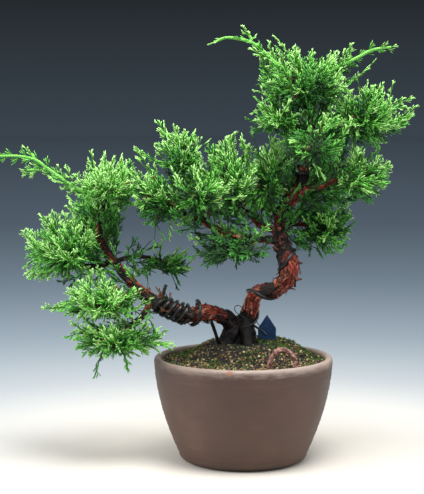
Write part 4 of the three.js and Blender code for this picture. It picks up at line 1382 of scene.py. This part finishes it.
def make_flakes(setting, limbs):
    """Loose strips of bark along the limbs, most of them on the thick red bends."""
    rng = np.random.default_rng(17)
    finish = ground_finish("loose_bark", [
        (0.32, (26, 18, 16)), (0.48, (78, 40, 30)), (0.6, (134, 66, 44)), (0.72, (184, 112, 76)),
    ], 420.0, 0.4)
    rows = []
    for path, count, middle, width, longest in limbs:
        normals, others = path.frames()
        for _ in range(count):
            share = float(np.clip(rng.normal(middle, width), 0.05, 0.95))
            spot = int(share * LIMB_SAMPLES)
            angle = rng.uniform(0, 2 * math.pi)
            out = normals[spot] * math.cos(angle) + others[spot] * math.sin(angle)
            ahead = path.ways[spot] * rng.choice([-1, 1]) + 0.35 * rng.normal(size=3)
            place = path.places[spot] + out * (path.radii[spot] - 0.2)
            kind = int(rng.integers(len(FLAKE_SHAPES)))
            turn = turn_to(ahead, np.cross(out, ahead))
            rows.append((place, turn, rng.uniform(0.4, 1.0) * longest, kind))
    shapes = shape_set("flake_shapes", [bark_flake(*shape) for shape in FLAKE_SHAPES])
    flakes = made_by(setting, "bark_flakes", points_mesh("bark_flakes", *zip(*rows)), Shapes=shapes,
                     **{"Finish": finish, "Tip Finish": finish})
    settle(flakes, "bark")


def make_wires(tubes, limbs):
    """Wire wound on the trunks, the leg that anchors it and its loose ends."""
    finish = wire_finish()
    runs = {}
    for name, coil in COILS.items():
        limb = limbs[coil["on"]]
        normals, others = limb.frames()
        share = np.linspace(0, 1, round(TURN_STEPS * abs(coil["turns"])) + 1)
        along = coil["from"] + (coil["to"] - coil["from"]) * share
        angle = 2 * math.pi * (coil["start"] + share * coil["turns"])
        slack = coil["slack"] * np.sin(math.pi * share)
        arm = limb.read(limb.radii, along) + WIRE_RADIUS + WIRE_CLEARANCE + slack
        out = limb.read(normals, along) * np.cos(angle)[:, None]
        out = out + limb.read(others, along) * np.sin(angle)[:, None]
        places = limb.at(along) + arm[:, None] * out
        runs[name] = Path(places, np.full(len(places), float(WIRE_RADIUS)), len(places) - 1)
    runs["wire_anchor"] = through([place + [WIRE_RADIUS] for place in ANCHOR_PATH], ANCHOR_STEPS)
    for name, path in runs.items():
        lines = lines_mesh(name + "_line", [path])
        settle(made_by(tubes, name + "_wound", lines, Sides=WIRE_SIDES, Finish=finish), "wire", name)
    for name, (radius, places) in LOOSE_ENDS.items():
        lines = lines_mesh(name + "_line", [through([place + [radius] for place in places], END_STEPS)])
        settle(made_by(tubes, name, lines, Sides=END_SIDES, Finish=finish), "wire")


# Foliage

def finger(foot, ahead, length, thick, segments, young):
    """A three-sided leafy finger with a blunt tip: its points, faces and which faces are young."""
    side = unit(np.cross(ahead, UP + np.array([0.3, 0.2, 0.0])))
    other = np.cross(ahead, side)
    places = []
    for share, width in FINGER_RINGS[segments]:
        for k in range(3):
            angle = 2 * math.pi * k / 3 + 0.5
            out = side * math.cos(angle) + other * math.sin(angle)
            places.append(foot + ahead * length * share + out * thick * width)
    places.append(foot + ahead * length)
    faces = []
    for i in range(segments):
        for k in range(3):
            a = 3 * i + k
            b = 3 * i + (k + 1) % 3
            faces.append((a, b, b + 3, a + 3))
    last = 3 * segments
    tips = [(last + k, last + (k + 1) % 3, last + 3) for k in range(3)]
    old = 3 * (segments - young)
    return places, faces + tips + [(2, 1, 0)], [False] * old + [True] * (3 * young + 3) + [False]


def branchlet(kind):
    """A leafy branchlet one unit long: a finger with blunt lobes to either side in turn."""
    rng = np.random.default_rng(100 + kind)
    short = kind >= LONG_KINDS
    main, side = SHORT_THICK if short else LONG_THICK
    parts = [finger(np.zeros(3), UP, 1.0, main, 2, 1)]
    for i, foot in enumerate(SHORT_LOBES if short else LONG_LOBES):
        tilt = rng.uniform(*LOBE_TILT)
        roll = math.pi * (i + kind) + rng.uniform(-0.4, 0.4)
        ahead = np.array([math.sin(tilt) * math.cos(roll), math.sin(tilt) * math.sin(roll), math.cos(tilt)])
        length = rng.uniform(*LOBE_LENGTH) * (1.1 - 0.5 * foot)
        parts.append(finger(UP * foot, ahead, length, side, 1, 0))
    places, faces, tips = [], [], []
    for part_places, part_faces, part_tips in parts:
        faces += [tuple(len(places) + i for i in face) for face in part_faces]
        places += part_places
        tips += part_tips
    mesh = mesh_of(f"branchlet_{kind}", np.array(places) / MM, faces)
    mark(mesh, "tip", "BOOLEAN", "FACE", tips)
    return mesh


def space_share(points, mass):
    """Distance of points from a mass's middle as a share of its reach."""
    return np.linalg.norm((points - np.array(mass["centre"])) / np.array(mass["reach"]), axis=-1)


def space_points(mass, count, shares, phase):
    """Points spread evenly over a mass's space, at shares of its reach."""
    order = np.arange(count)
    height = 1 - 2 * (order + 0.5) / count
    girth = np.sqrt(1 - height ** 2)
    angle = GOLDEN_ANGLE * order + phase
    ways = np.stack([girth * np.cos(angle), girth * np.sin(angle), height], axis=1)
    return np.array(mass["centre"]) + ways * np.array(mass["reach"]) * np.reshape(shares, (-1, 1))


def in_gap(place):
    """Whether a place, seen from the front, lies in a gap of sky."""
    return any(math.hypot(place[0] - x, place[2] - z) < radius for x, z, radius in GAPS)


def tint_of(tip, share, mass, rng):
    """Brighter greens towards the top and the outside of a mass as painted light, darker below and within
    as painted shade, now and then a dry spray within.
    """
    lift = np.clip((tip[2] - mass["centre"][2]) / mass["reach"][2], -1.1, 1.1)
    painted_light = MEAN_PAINTED_LIGHT + PAINTED_LIGHT_BY_HEIGHT * lift + PAINTED_LIGHT_BY_REACH * (min(share, 1.1) - EVEN_REACH)
    painted_light = painted_light + LIGHT_SPREAD * rng.normal() + mass.get("painted_light", 0)
    if share < DRY_WITHIN and rng.random() < DRY_SHARE:
        return "dry"
    return list(GREENS)[int(np.clip((1 - painted_light) * 4, 0, 3))]


def spray_swell(mass, count, phase, rng):
    """How far sprays stand out or back: they are gathered into plumes with hollows between."""
    centre = np.array(mass["centre"], float)
    reach = np.array(mass["reach"], float)
    plumes = max(6, count // SWELL_SPRAYS)
    heads = (space_points(mass, plumes, np.ones(plumes), phase + 2) - centre) / reach
    heads = heads + rng.normal(size=heads.shape) * 0.5 / math.sqrt(plumes)
    heads /= np.linalg.norm(heads, axis=1)[:, None]
    ways = (space_points(mass, count, np.ones(count), phase) - centre) / reach
    off = np.arccos(np.clip(np.max(ways @ heads.T, axis=1), -1, 1)) * math.sqrt(plumes) / 2
    return 1.15 - 0.3 * np.clip(off, 0, 1)


class Foliage:
    """Everything that grows on the limbs: brown stems and twigs, green spray axes and branchlets."""

    def __init__(self):
        self.wood = []
        self.axes = []
        self.whips = []
        self.leaves = []

    def leaf_out(self, path, leafy, region, tint, rng, longest=BRANCHLET_LONGEST, lean=BRANCHLET_SPREAD,
                 step=BRANCHLET_STEP):
        """A plume: one branchlet at the path's tip, longer ones to either side in turn towards its foot."""
        facing = unit(np.cross(path.ways[-1], rng.normal(size=3)))
        leafy = min(leafy, LEAFY_MOST * path.length)
        for order, back in enumerate(np.arange(0, leafy, step)):
            share = 1 - back / path.length
            ahead = path.way(share)
            side = unit(np.cross(ahead, facing))
            roll = math.pi * order + rng.normal() * 0.3
            out = side * math.cos(roll) + np.cross(ahead, side) * math.sin(roll)
            tilt = 0.0 if order == 0 else lean + rng.normal() * 0.1
            way = ahead * math.cos(tilt) + out * math.sin(tilt)
            length = min(BRANCHLET_SHORTEST + BRANCHLET_GAIN * back, longest)
            length *= (1 - 0.3 * smoothstep(back, 0.75 * leafy, leafy)) * rng.uniform(0.85, 1.15)
            long = length > LONG_FROM
            kind = rng.integers(LONG_KINDS) if long else LONG_KINDS + rng.integers(SHORT_KINDS)
            across = out + 0.25 * rng.normal(size=3) if order else side
            foot = path.at(share)
            if not in_gap(foot + 0.7 * length * way):
                # Past the young run the next darker green: painted shade towards the plume's foot
                shade = tint if back < YOUNG_RUN * (1 + 0.3 * rng.normal()) else DARKER[tint]
                self.leaves.append((foot, turn_to(way, across), length, int(kind), region, shade))

    def grow(self, name, mass, limb):
        """One mass: its stem and twigs, its long shoots and whips, and the sprays that fill it."""
        rng = np.random.default_rng(mass["seed"])
        centre = np.array(mass["centre"], float)
        reach = np.array(mass["reach"], float)
        heading = limb.ways[-1]
        start = limb.places[-1]
        hub = start + (centre - start) * STEM_REACH
        lead = start + heading * np.linalg.norm(hub - start) / 2
        stem = bent(start - heading, lead, hub, max(STEM_RADIUS, limb.radii[-1]), STEM_TIP)
        self.wood.append(stem)
        seats = [(stem, STEM_BARE)]
        area = reach[0] * reach[1] + reach[1] * reach[2] + reach[2] * reach[0]
        phase = 2 * math.pi * ((PHASE_FACTOR * mass["seed"] + PHASE_SHIFT) % PHASE_RANGE) / PHASE_RANGE
        twig_count = math.ceil(round(area / SOURCE_AREA) / SOURCE_SPRAYS)
        ends = space_points(mass, twig_count, np.full(twig_count, TWIG_END), phase)
        for i, end in enumerate(ends):
            foot = stem.at(FIRST_TWIG + (1 - FIRST_TWIG) * (i + 0.5) / twig_count)
            twig = bent(foot, (foot + end) / 2 + heading * TWIG_LIFT, end, TWIG_RADIUS, TWIG_TIP)
            self.wood.append(twig)
            seats.append((twig, TWIG_BARE))
        shoots = mass.get("shoots", [])
        for order, tip in enumerate(shoots):
            foot = stem.at(FIRST_SHOOT + (1 - FIRST_SHOOT) * (order + 1) / len(shoots))
            end = np.array(tip, float)
            end -= unit(end - foot) * BRANCHLET_SHORTEST
            shoot = bent(foot, (foot + end) / 2 + UP * TWIG_LIFT, end, TWIG_RADIUS, SPRAY_TIP, 24)
            self.wood.append(shoot.part(0, SHOOT_WOODY))
            self.axes.append(shoot.part(SHOOT_GREEN, 1))
            self.plume(shoot, mass, rng)
            seats.append((shoot.part(0, SHOOT_SEATED), SHOOT_BARE))
        stems = [stem]
        for points in mass.get("leaders", []):
            stems.append(self.leader(stems, np.array(points, float), mass, rng))
        self.fill(name, mass, seats, start, phase, rng)

    def leader(self, stems, points, mass, rng):
        """A long slender shoot: a stout green axis with short lobes on it, bushy only at its foot."""
        spots = np.vstack([stem.places for stem in stems])
        foot = spots[np.argmin(np.linalg.norm(spots - points[0], axis=1))]
        tip = points[-1] - unit(points[-1] - points[-2]) * LEADER_BLUNT
        places = np.vstack([foot, points[:-1], tip])
        radii = np.linspace(LEADER_RADIUS, LEADER_TIP, len(places))[:, None]
        path = through(np.hstack([places, radii]), LEADER_STEPS)
        run = np.linspace(0, path.length, len(path.radii))
        path.radii = path.radii * (1.12 - 0.28 * (run / LEADER_SCALE % 1))
        self.whips.append(path)
        self.leaf_out(path, LEADER_LEAFY * path.length, mass["region"], "bright", rng, LEADER_LONGEST,
                      BRANCHLET_SPREAD, LEADER_STEP)
        bushy = np.arange(0.6 * path.length, 0.95 * path.length, LEADER_STEP)
        self.side_sprays(path, bushy, mass, rng, LEADER_SIDE)
        return path

    def plume(self, shoot, mass, rng):
        """A shoot leafed out to its tip, with short sprays to either side further back."""
        tint = tint_of(shoot.places[-1], 1.05, mass, rng)
        leafy = PLUME_LEAFY * shoot.length
        self.leaf_out(shoot, leafy, mass["region"], tint, rng, PLUME_LONGEST, PLUME_SPREAD)
        backs = np.arange(PLUME_FIRST, 0.75 * shoot.length, PLUME_STEP)
        self.side_sprays(shoot, backs, mass, rng, PLUME_SIDE)

    def side_sprays(self, shoot, backs, mass, rng, longest):
        """Short sprays to either side of a shoot in turn, at distances back from its tip."""
        for order, back in enumerate(backs):
            share = 1 - back / shoot.length
            ahead = shoot.way(share)
            side = unit(np.cross(ahead, [0, 1, 0.2]))
            roll = math.pi * order + rng.normal() * 0.6
            out = side * math.cos(roll) + np.cross(ahead, side) * math.sin(roll)
            way = unit(ahead + SIDE_LEAN * out + 0.2 * UP)
            length = min(5 + 0.3 * back, longest) * rng.uniform(0.8, 1.15)
            foot = shoot.at(share)
            lead = foot + (ahead + SIDE_LEAN * out) * length * 0.4
            axis = bent(foot, lead, foot + way * length, SPRAY_RADIUS, SPRAY_TIP, 6)
            self.axes.append(axis)
            tint = tint_of(axis.places[-1], 1.0, mass, rng)
            self.leaf_out(axis, length, mass["region"], tint, rng, SIDE_LONGEST)

    def clothe(self, limb, first, last, spacing, longest, region, tints, rng):
        """Short sprays all round a part of a limb."""
        normals, others = limb.frames()
        for order, run in enumerate(np.arange(first * limb.length, last * limb.length, spacing)):
            share = run / limb.length
            spot = int(share * LIMB_SAMPLES)
            angle = GOLDEN_ANGLE * order + rng.normal() * 0.3
            out = normals[spot] * math.cos(angle) + others[spot] * math.sin(angle)
            way = unit(0.7 * limb.ways[spot] + out + 0.3 * UP)
            length = rng.uniform(0.5, 1.0) * longest
            foot = limb.places[spot] + 0.7 * out * limb.radii[spot]
            axis = bent(foot, foot + out * length * 0.5, foot + way * length, SPRAY_RADIUS, SPRAY_TIP, 6)
            self.axes.append(axis)
            dry = share < DRY_BELOW and rng.random() < DRY_SHARE
            tint = "dry" if dry else tints[rng.integers(len(tints))]
            self.leaf_out(axis, CLOTHE_LEAFY * length, region, tint, rng, CLOTHE_LONGEST)

    def fill(self, name, mass, seats, start, phase, rng):
        """Sprays from the twigs to points all through the outer part of a mass's space."""
        centre = np.array(mass["centre"], float)
        reach = np.array(mass["reach"], float)
        area = reach[0] * reach[1] + reach[1] * reach[2] + reach[2] * reach[0]
        count = round(area / SPRAY_AREA / mass.get("thin", 1))
        rest = [other for key, other in MASSES.items() if key != name]

        def others_share(points):
            return np.min([space_share(points, other) for other in rest], axis=0)

        outer = np.clip(rng.normal(OUTER_MIDDLE, OUTER_SPREAD, count), 0.6, 1.1)
        shares = np.where(rng.random(count) < OUTER_SHARE, outer, rng.uniform(0.5, 0.8, count))
        shares = np.where(rng.random(count) < SPIRE_SHARE, rng.uniform(1.06, 1.26, count), shares)
        shares = shares * spray_swell(mass, count, phase, rng)
        between = others_share(space_points(mass, count, np.full(count, JOIN_REACH), phase)) < JOIN_REACH
        shares = np.where(between, JOIN_REACH * shares, shares)
        targets = space_points(mass, count, shares, phase) + rng.normal(size=(count, 3)) * SCATTER
        kept = rng.random(count) < np.where(targets[:, 2] < centre[2], mass.get("airy", 1), 1)
        targets = targets[kept]
        own = space_share(targets, mass)
        targets = targets[(own <= others_share(targets) + OVERLAP) | (own < CORE)]
        inner = round(INNER_SHARE * count)
        targets = np.vstack([targets, space_points(mass, inner, rng.uniform(0.3, 0.6, inner), phase + 1)])
        if "tips" in mass:
            targets = np.vstack([targets, mass["tips"]])
        targets = targets[np.argsort(space_share(targets, mass))]
        source = start + (centre - start) * 0.2
        spots, ways, used = [], [], []

        def open_seats(path, first):
            number = max(2, int(path.length * (1 - first) / SEAT_SPACING))
            for share in np.linspace(first, LAST_SEAT, number):
                spots.append(path.at(share))
                ways.append(path.way(share))
                used.append(0)

        for path, first in seats:
            open_seats(path, first)
        for target in targets:
            if in_gap(target):
                continue
            rise = FAN_RISE if target[2] > centre[2] - 0.3 * reach[2] else 0.0
            aim = unit(unit(target - source) * FAN_OUT + UP * rise)
            end = target - aim * 0.85 * BRANCHLET_SHORTEST
            gaps = end - np.array(spots)
            far = np.linalg.norm(gaps, axis=1)
            toward = gaps / np.maximum(far, 1e-6)[:, None]
            off = AIM_COST * (1 - toward @ aim) + TURN_COST * (1 - np.sum(toward * np.array(ways), axis=1))
            cost = far + off + USED_COST * np.array(used) + np.where(far < SPRAY_LEAST, CLOSE_COST, 0)
            best = int(np.argmin(cost))
            used[best] += 1
            foot = spots[best]
            lead = (foot + ways[best] * far[best] * 0.45 + end - aim * far[best] * 0.45) / 2
            axis = bent(foot, lead, end, SPRAY_RADIUS, SPRAY_TIP, 8)
            self.axes.append(axis)
            share = float(space_share(target, mass))
            tint = tint_of(target, share, mass, rng)
            if share > SPIRE_FROM:
                self.leaf_out(axis, SPRAY_LEAFY, mass["region"], tint, rng, SPIRE_LONGEST, SPIRE_SPREAD)
            else:
                self.leaf_out(axis, SPRAY_LEAFY, mass["region"], tint, rng)
            open_seats(axis, SPRAY_BARE)


def make_foliage(tubes, setting, limbs):
    """Grows all the foliage and joins it by kind: twigs, whips, and the sprays of each region and green."""
    foliage = Foliage()
    for name, mass in MASSES.items():
        foliage.grow(name, mass, limbs[mass["on"]])
    rng = np.random.default_rng(90)
    for name, *how in CLOTHED:
        foliage.clothe(limbs[name], *how, rng)
    lines = lines_mesh("twig_lines", foliage.wood)
    settle(made_by(tubes, "brown_twigs", lines, Sides=WOOD_SIDES, Finish=twig_finish()), "bark")
    lines = lines_mesh("axis_lines", foliage.axes)
    finish = leaf_finish("green_twig", TWIG_GREEN)
    settle(made_by(tubes, "green_twigs", lines, Sides=AXIS_SIDES, Finish=finish), "foliage")
    lines = lines_mesh("whip_lines", foliage.whips)
    finish = leaf_finish("whip_green", GREENS["fresh"][1])
    settle(made_by(tubes, "leafy_whips", lines, Sides=WHIP_SIDES, Finish=finish), "foliage")
    shapes = shape_set("branchlets", [branchlet(kind) for kind in range(LONG_KINDS + SHORT_KINDS)])
    regions = {}
    for name, mass in MASSES.items():
        regions.setdefault(mass["region"], []).append(name)
    for tint, (body, tip) in GREENS.items():
        finishes = {
            "Finish": leaf_finish(f"{tint}_leaves", body), "Tip Finish": leaf_finish(f"{tint}_tips", tip),
        }
        for region, nodes in regions.items():
            rows = [leaf[:4] for leaf in foliage.leaves if leaf[4:] == (region, tint)]
            if rows:
                name = f"{region}_{tint}_sprays"
                points = points_mesh(name + "_points", *zip(*rows))
                settle(made_by(setting, name, points, Shapes=shapes, **finishes), "foliage", *nodes)


# Stage

def make_stage():
    """A pale floor painted darker with distance as a fall-off of light, a soft sky of light, the lamps and
    the camera.
    """
    rings = np.geomspace(FLOOR_NEAR, FLOOR_FAR, FLOOR_RINGS)
    angles = np.linspace(0, 2 * math.pi, FLOOR_SEGMENTS, endpoint=False)
    places = [[r * math.cos(a) / MM, r * math.sin(a) / MM, 0] for r in rings for a in angles]
    faces = [tuple(range(FLOOR_SEGMENTS))]
    for i in range(FLOOR_RINGS - 1):
        for k in range(FLOOR_SEGMENTS):
            a = FLOOR_SEGMENTS * i + k
            b = FLOOR_SEGMENTS * i + (k + 1) % FLOOR_SEGMENTS
            faces.append((a, a + FLOOR_SEGMENTS, b + FLOOR_SEGMENTS, b))
    floor = show("floor", mesh_of("floor", places, faces))
    material, tree, shader = new_finish("pale_floor", 1.0)
    shader.inputs["Specular IOR Level"].default_value = 0.0
    # Painted fall-off of light: pale near the pot, darkening to grey-blue far away
    away = add(tree, "ShaderNodeVectorMath", {0: own_place(tree)}, operation="LENGTH").outputs["Value"]
    far = sums(tree, "LOGARITHM", away, 10.0)
    place = add(tree, "ShaderNodeMapRange", {"Value": far, "From Min": -1.0, "From Max": 1.5})
    tree.links.new(ramp(tree, place.outputs["Result"], [
        (0.0, (198, 193, 184)), (0.12, (180, 179, 175)), (0.2, (152, 157, 160)),
        (0.3, (124, 135, 143)), (0.42, (101, 114, 124)), (0.55, (82, 94, 105)),
        (0.75, (68, 78, 87)), (1.0, (60, 69, 77)),
    ]), shader.inputs["Base Color"])
    floor.data.materials.append(material)

    world = bpy.data.worlds.new("soft_light")
    world.use_nodes = True
    sky = world.node_tree
    where = add(sky, "ShaderNodeTexCoord").outputs["Generated"]
    height = add(sky, "ShaderNodeSeparateXYZ", {"Vector": where}).outputs["Z"]
    colour = ramp(sky, height, [
        (0.0, (55, 64, 72)), (0.1, (33, 37, 41)), (0.2, (90, 96, 100)),
        (0.5, (235, 240, 245)), (1.0, (255, 255, 255)),
    ])
    sky.links.new(colour, sky.nodes["Background"].inputs["Color"])
    sky.nodes["Background"].inputs["Strength"].default_value = SKY_STRENGTH
    scene.world = world

    for name, place, size, energy in LAMPS:
        lamp = bpy.data.lights.new(name, "AREA")
        lamp.shape = "DISK"
        lamp.size = size
        lamp.energy = energy
        holder = bpy.data.objects.new(name, lamp)
        holder.location = place
        aim = Vector(LAMP_AIM) - holder.location
        holder.rotation_euler = aim.to_track_quat("-Z", "Y").to_euler()
        scene.collection.objects.link(holder)

    lens = bpy.data.cameras.new("camera")
    lens.lens = SENSOR_WIDTH * FOCAL_PIXELS / PHOTO_HEIGHT
    lens.sensor_width = SENSOR_WIDTH
    camera = bpy.data.objects.new("camera", lens)
    camera.location = CAMERA_PLACE
    camera.rotation_euler = (math.radians(90 - CAMERA_DOWN), 0, 0)
    scene.collection.objects.link(camera)
    scene.camera = camera
    scene.view_settings.view_transform = "Standard"


tubes = tube_tree()
setting = setting_tree()
scatter = scatter_tree()
make_stage()
make_pot()
make_soil(scatter)
make_label()
make_arch()

limbs = {name: through(points) for name, points in {**TRUNKS, **BOUGHS}.items()}
bark = bark_finish()
right_points = rooted(TRUNKS["trunk_right"], ROOTED_DEPTH)
right_limbs = [(through(right_points, RIGHT_STEPS), RIGHT_SIDES, redder(RIGHT_RED))]
right_limbs += [(through(points, ROOT_STEPS), ROOT_SIDES, redder(ROOT_RED)) for points in ROOTS]
left_limbs = [(through(TRUNKS["trunk_left"], LEFT_STEPS), LEFT_SIDES, redder(LEFT_RED))]
bough_limbs = [(through(points, BOUGH_STEPS), BOUGH_SIDES, redder(BOUGH_RED)) for points in BOUGHS.values()]
bark_piece("bark_of_right_trunk", right_limbs, 200, ["trunk_right"], bark)
bark_piece("bark_of_left_trunk", left_limbs, 230, ["trunk_left"], bark)
bark_piece("bark_of_boughs", bough_limbs, 260, list(BOUGHS), bark)
make_flakes(setting, [
    *((limbs[name], *flakes) for name, *flakes in TRUNK_FLAKES),
    *((limbs[name], *BOUGH_FLAKES) for name in BOUGHS),
])
make_wires(tubes, limbs)
make_foliage(tubes, setting, limbs)
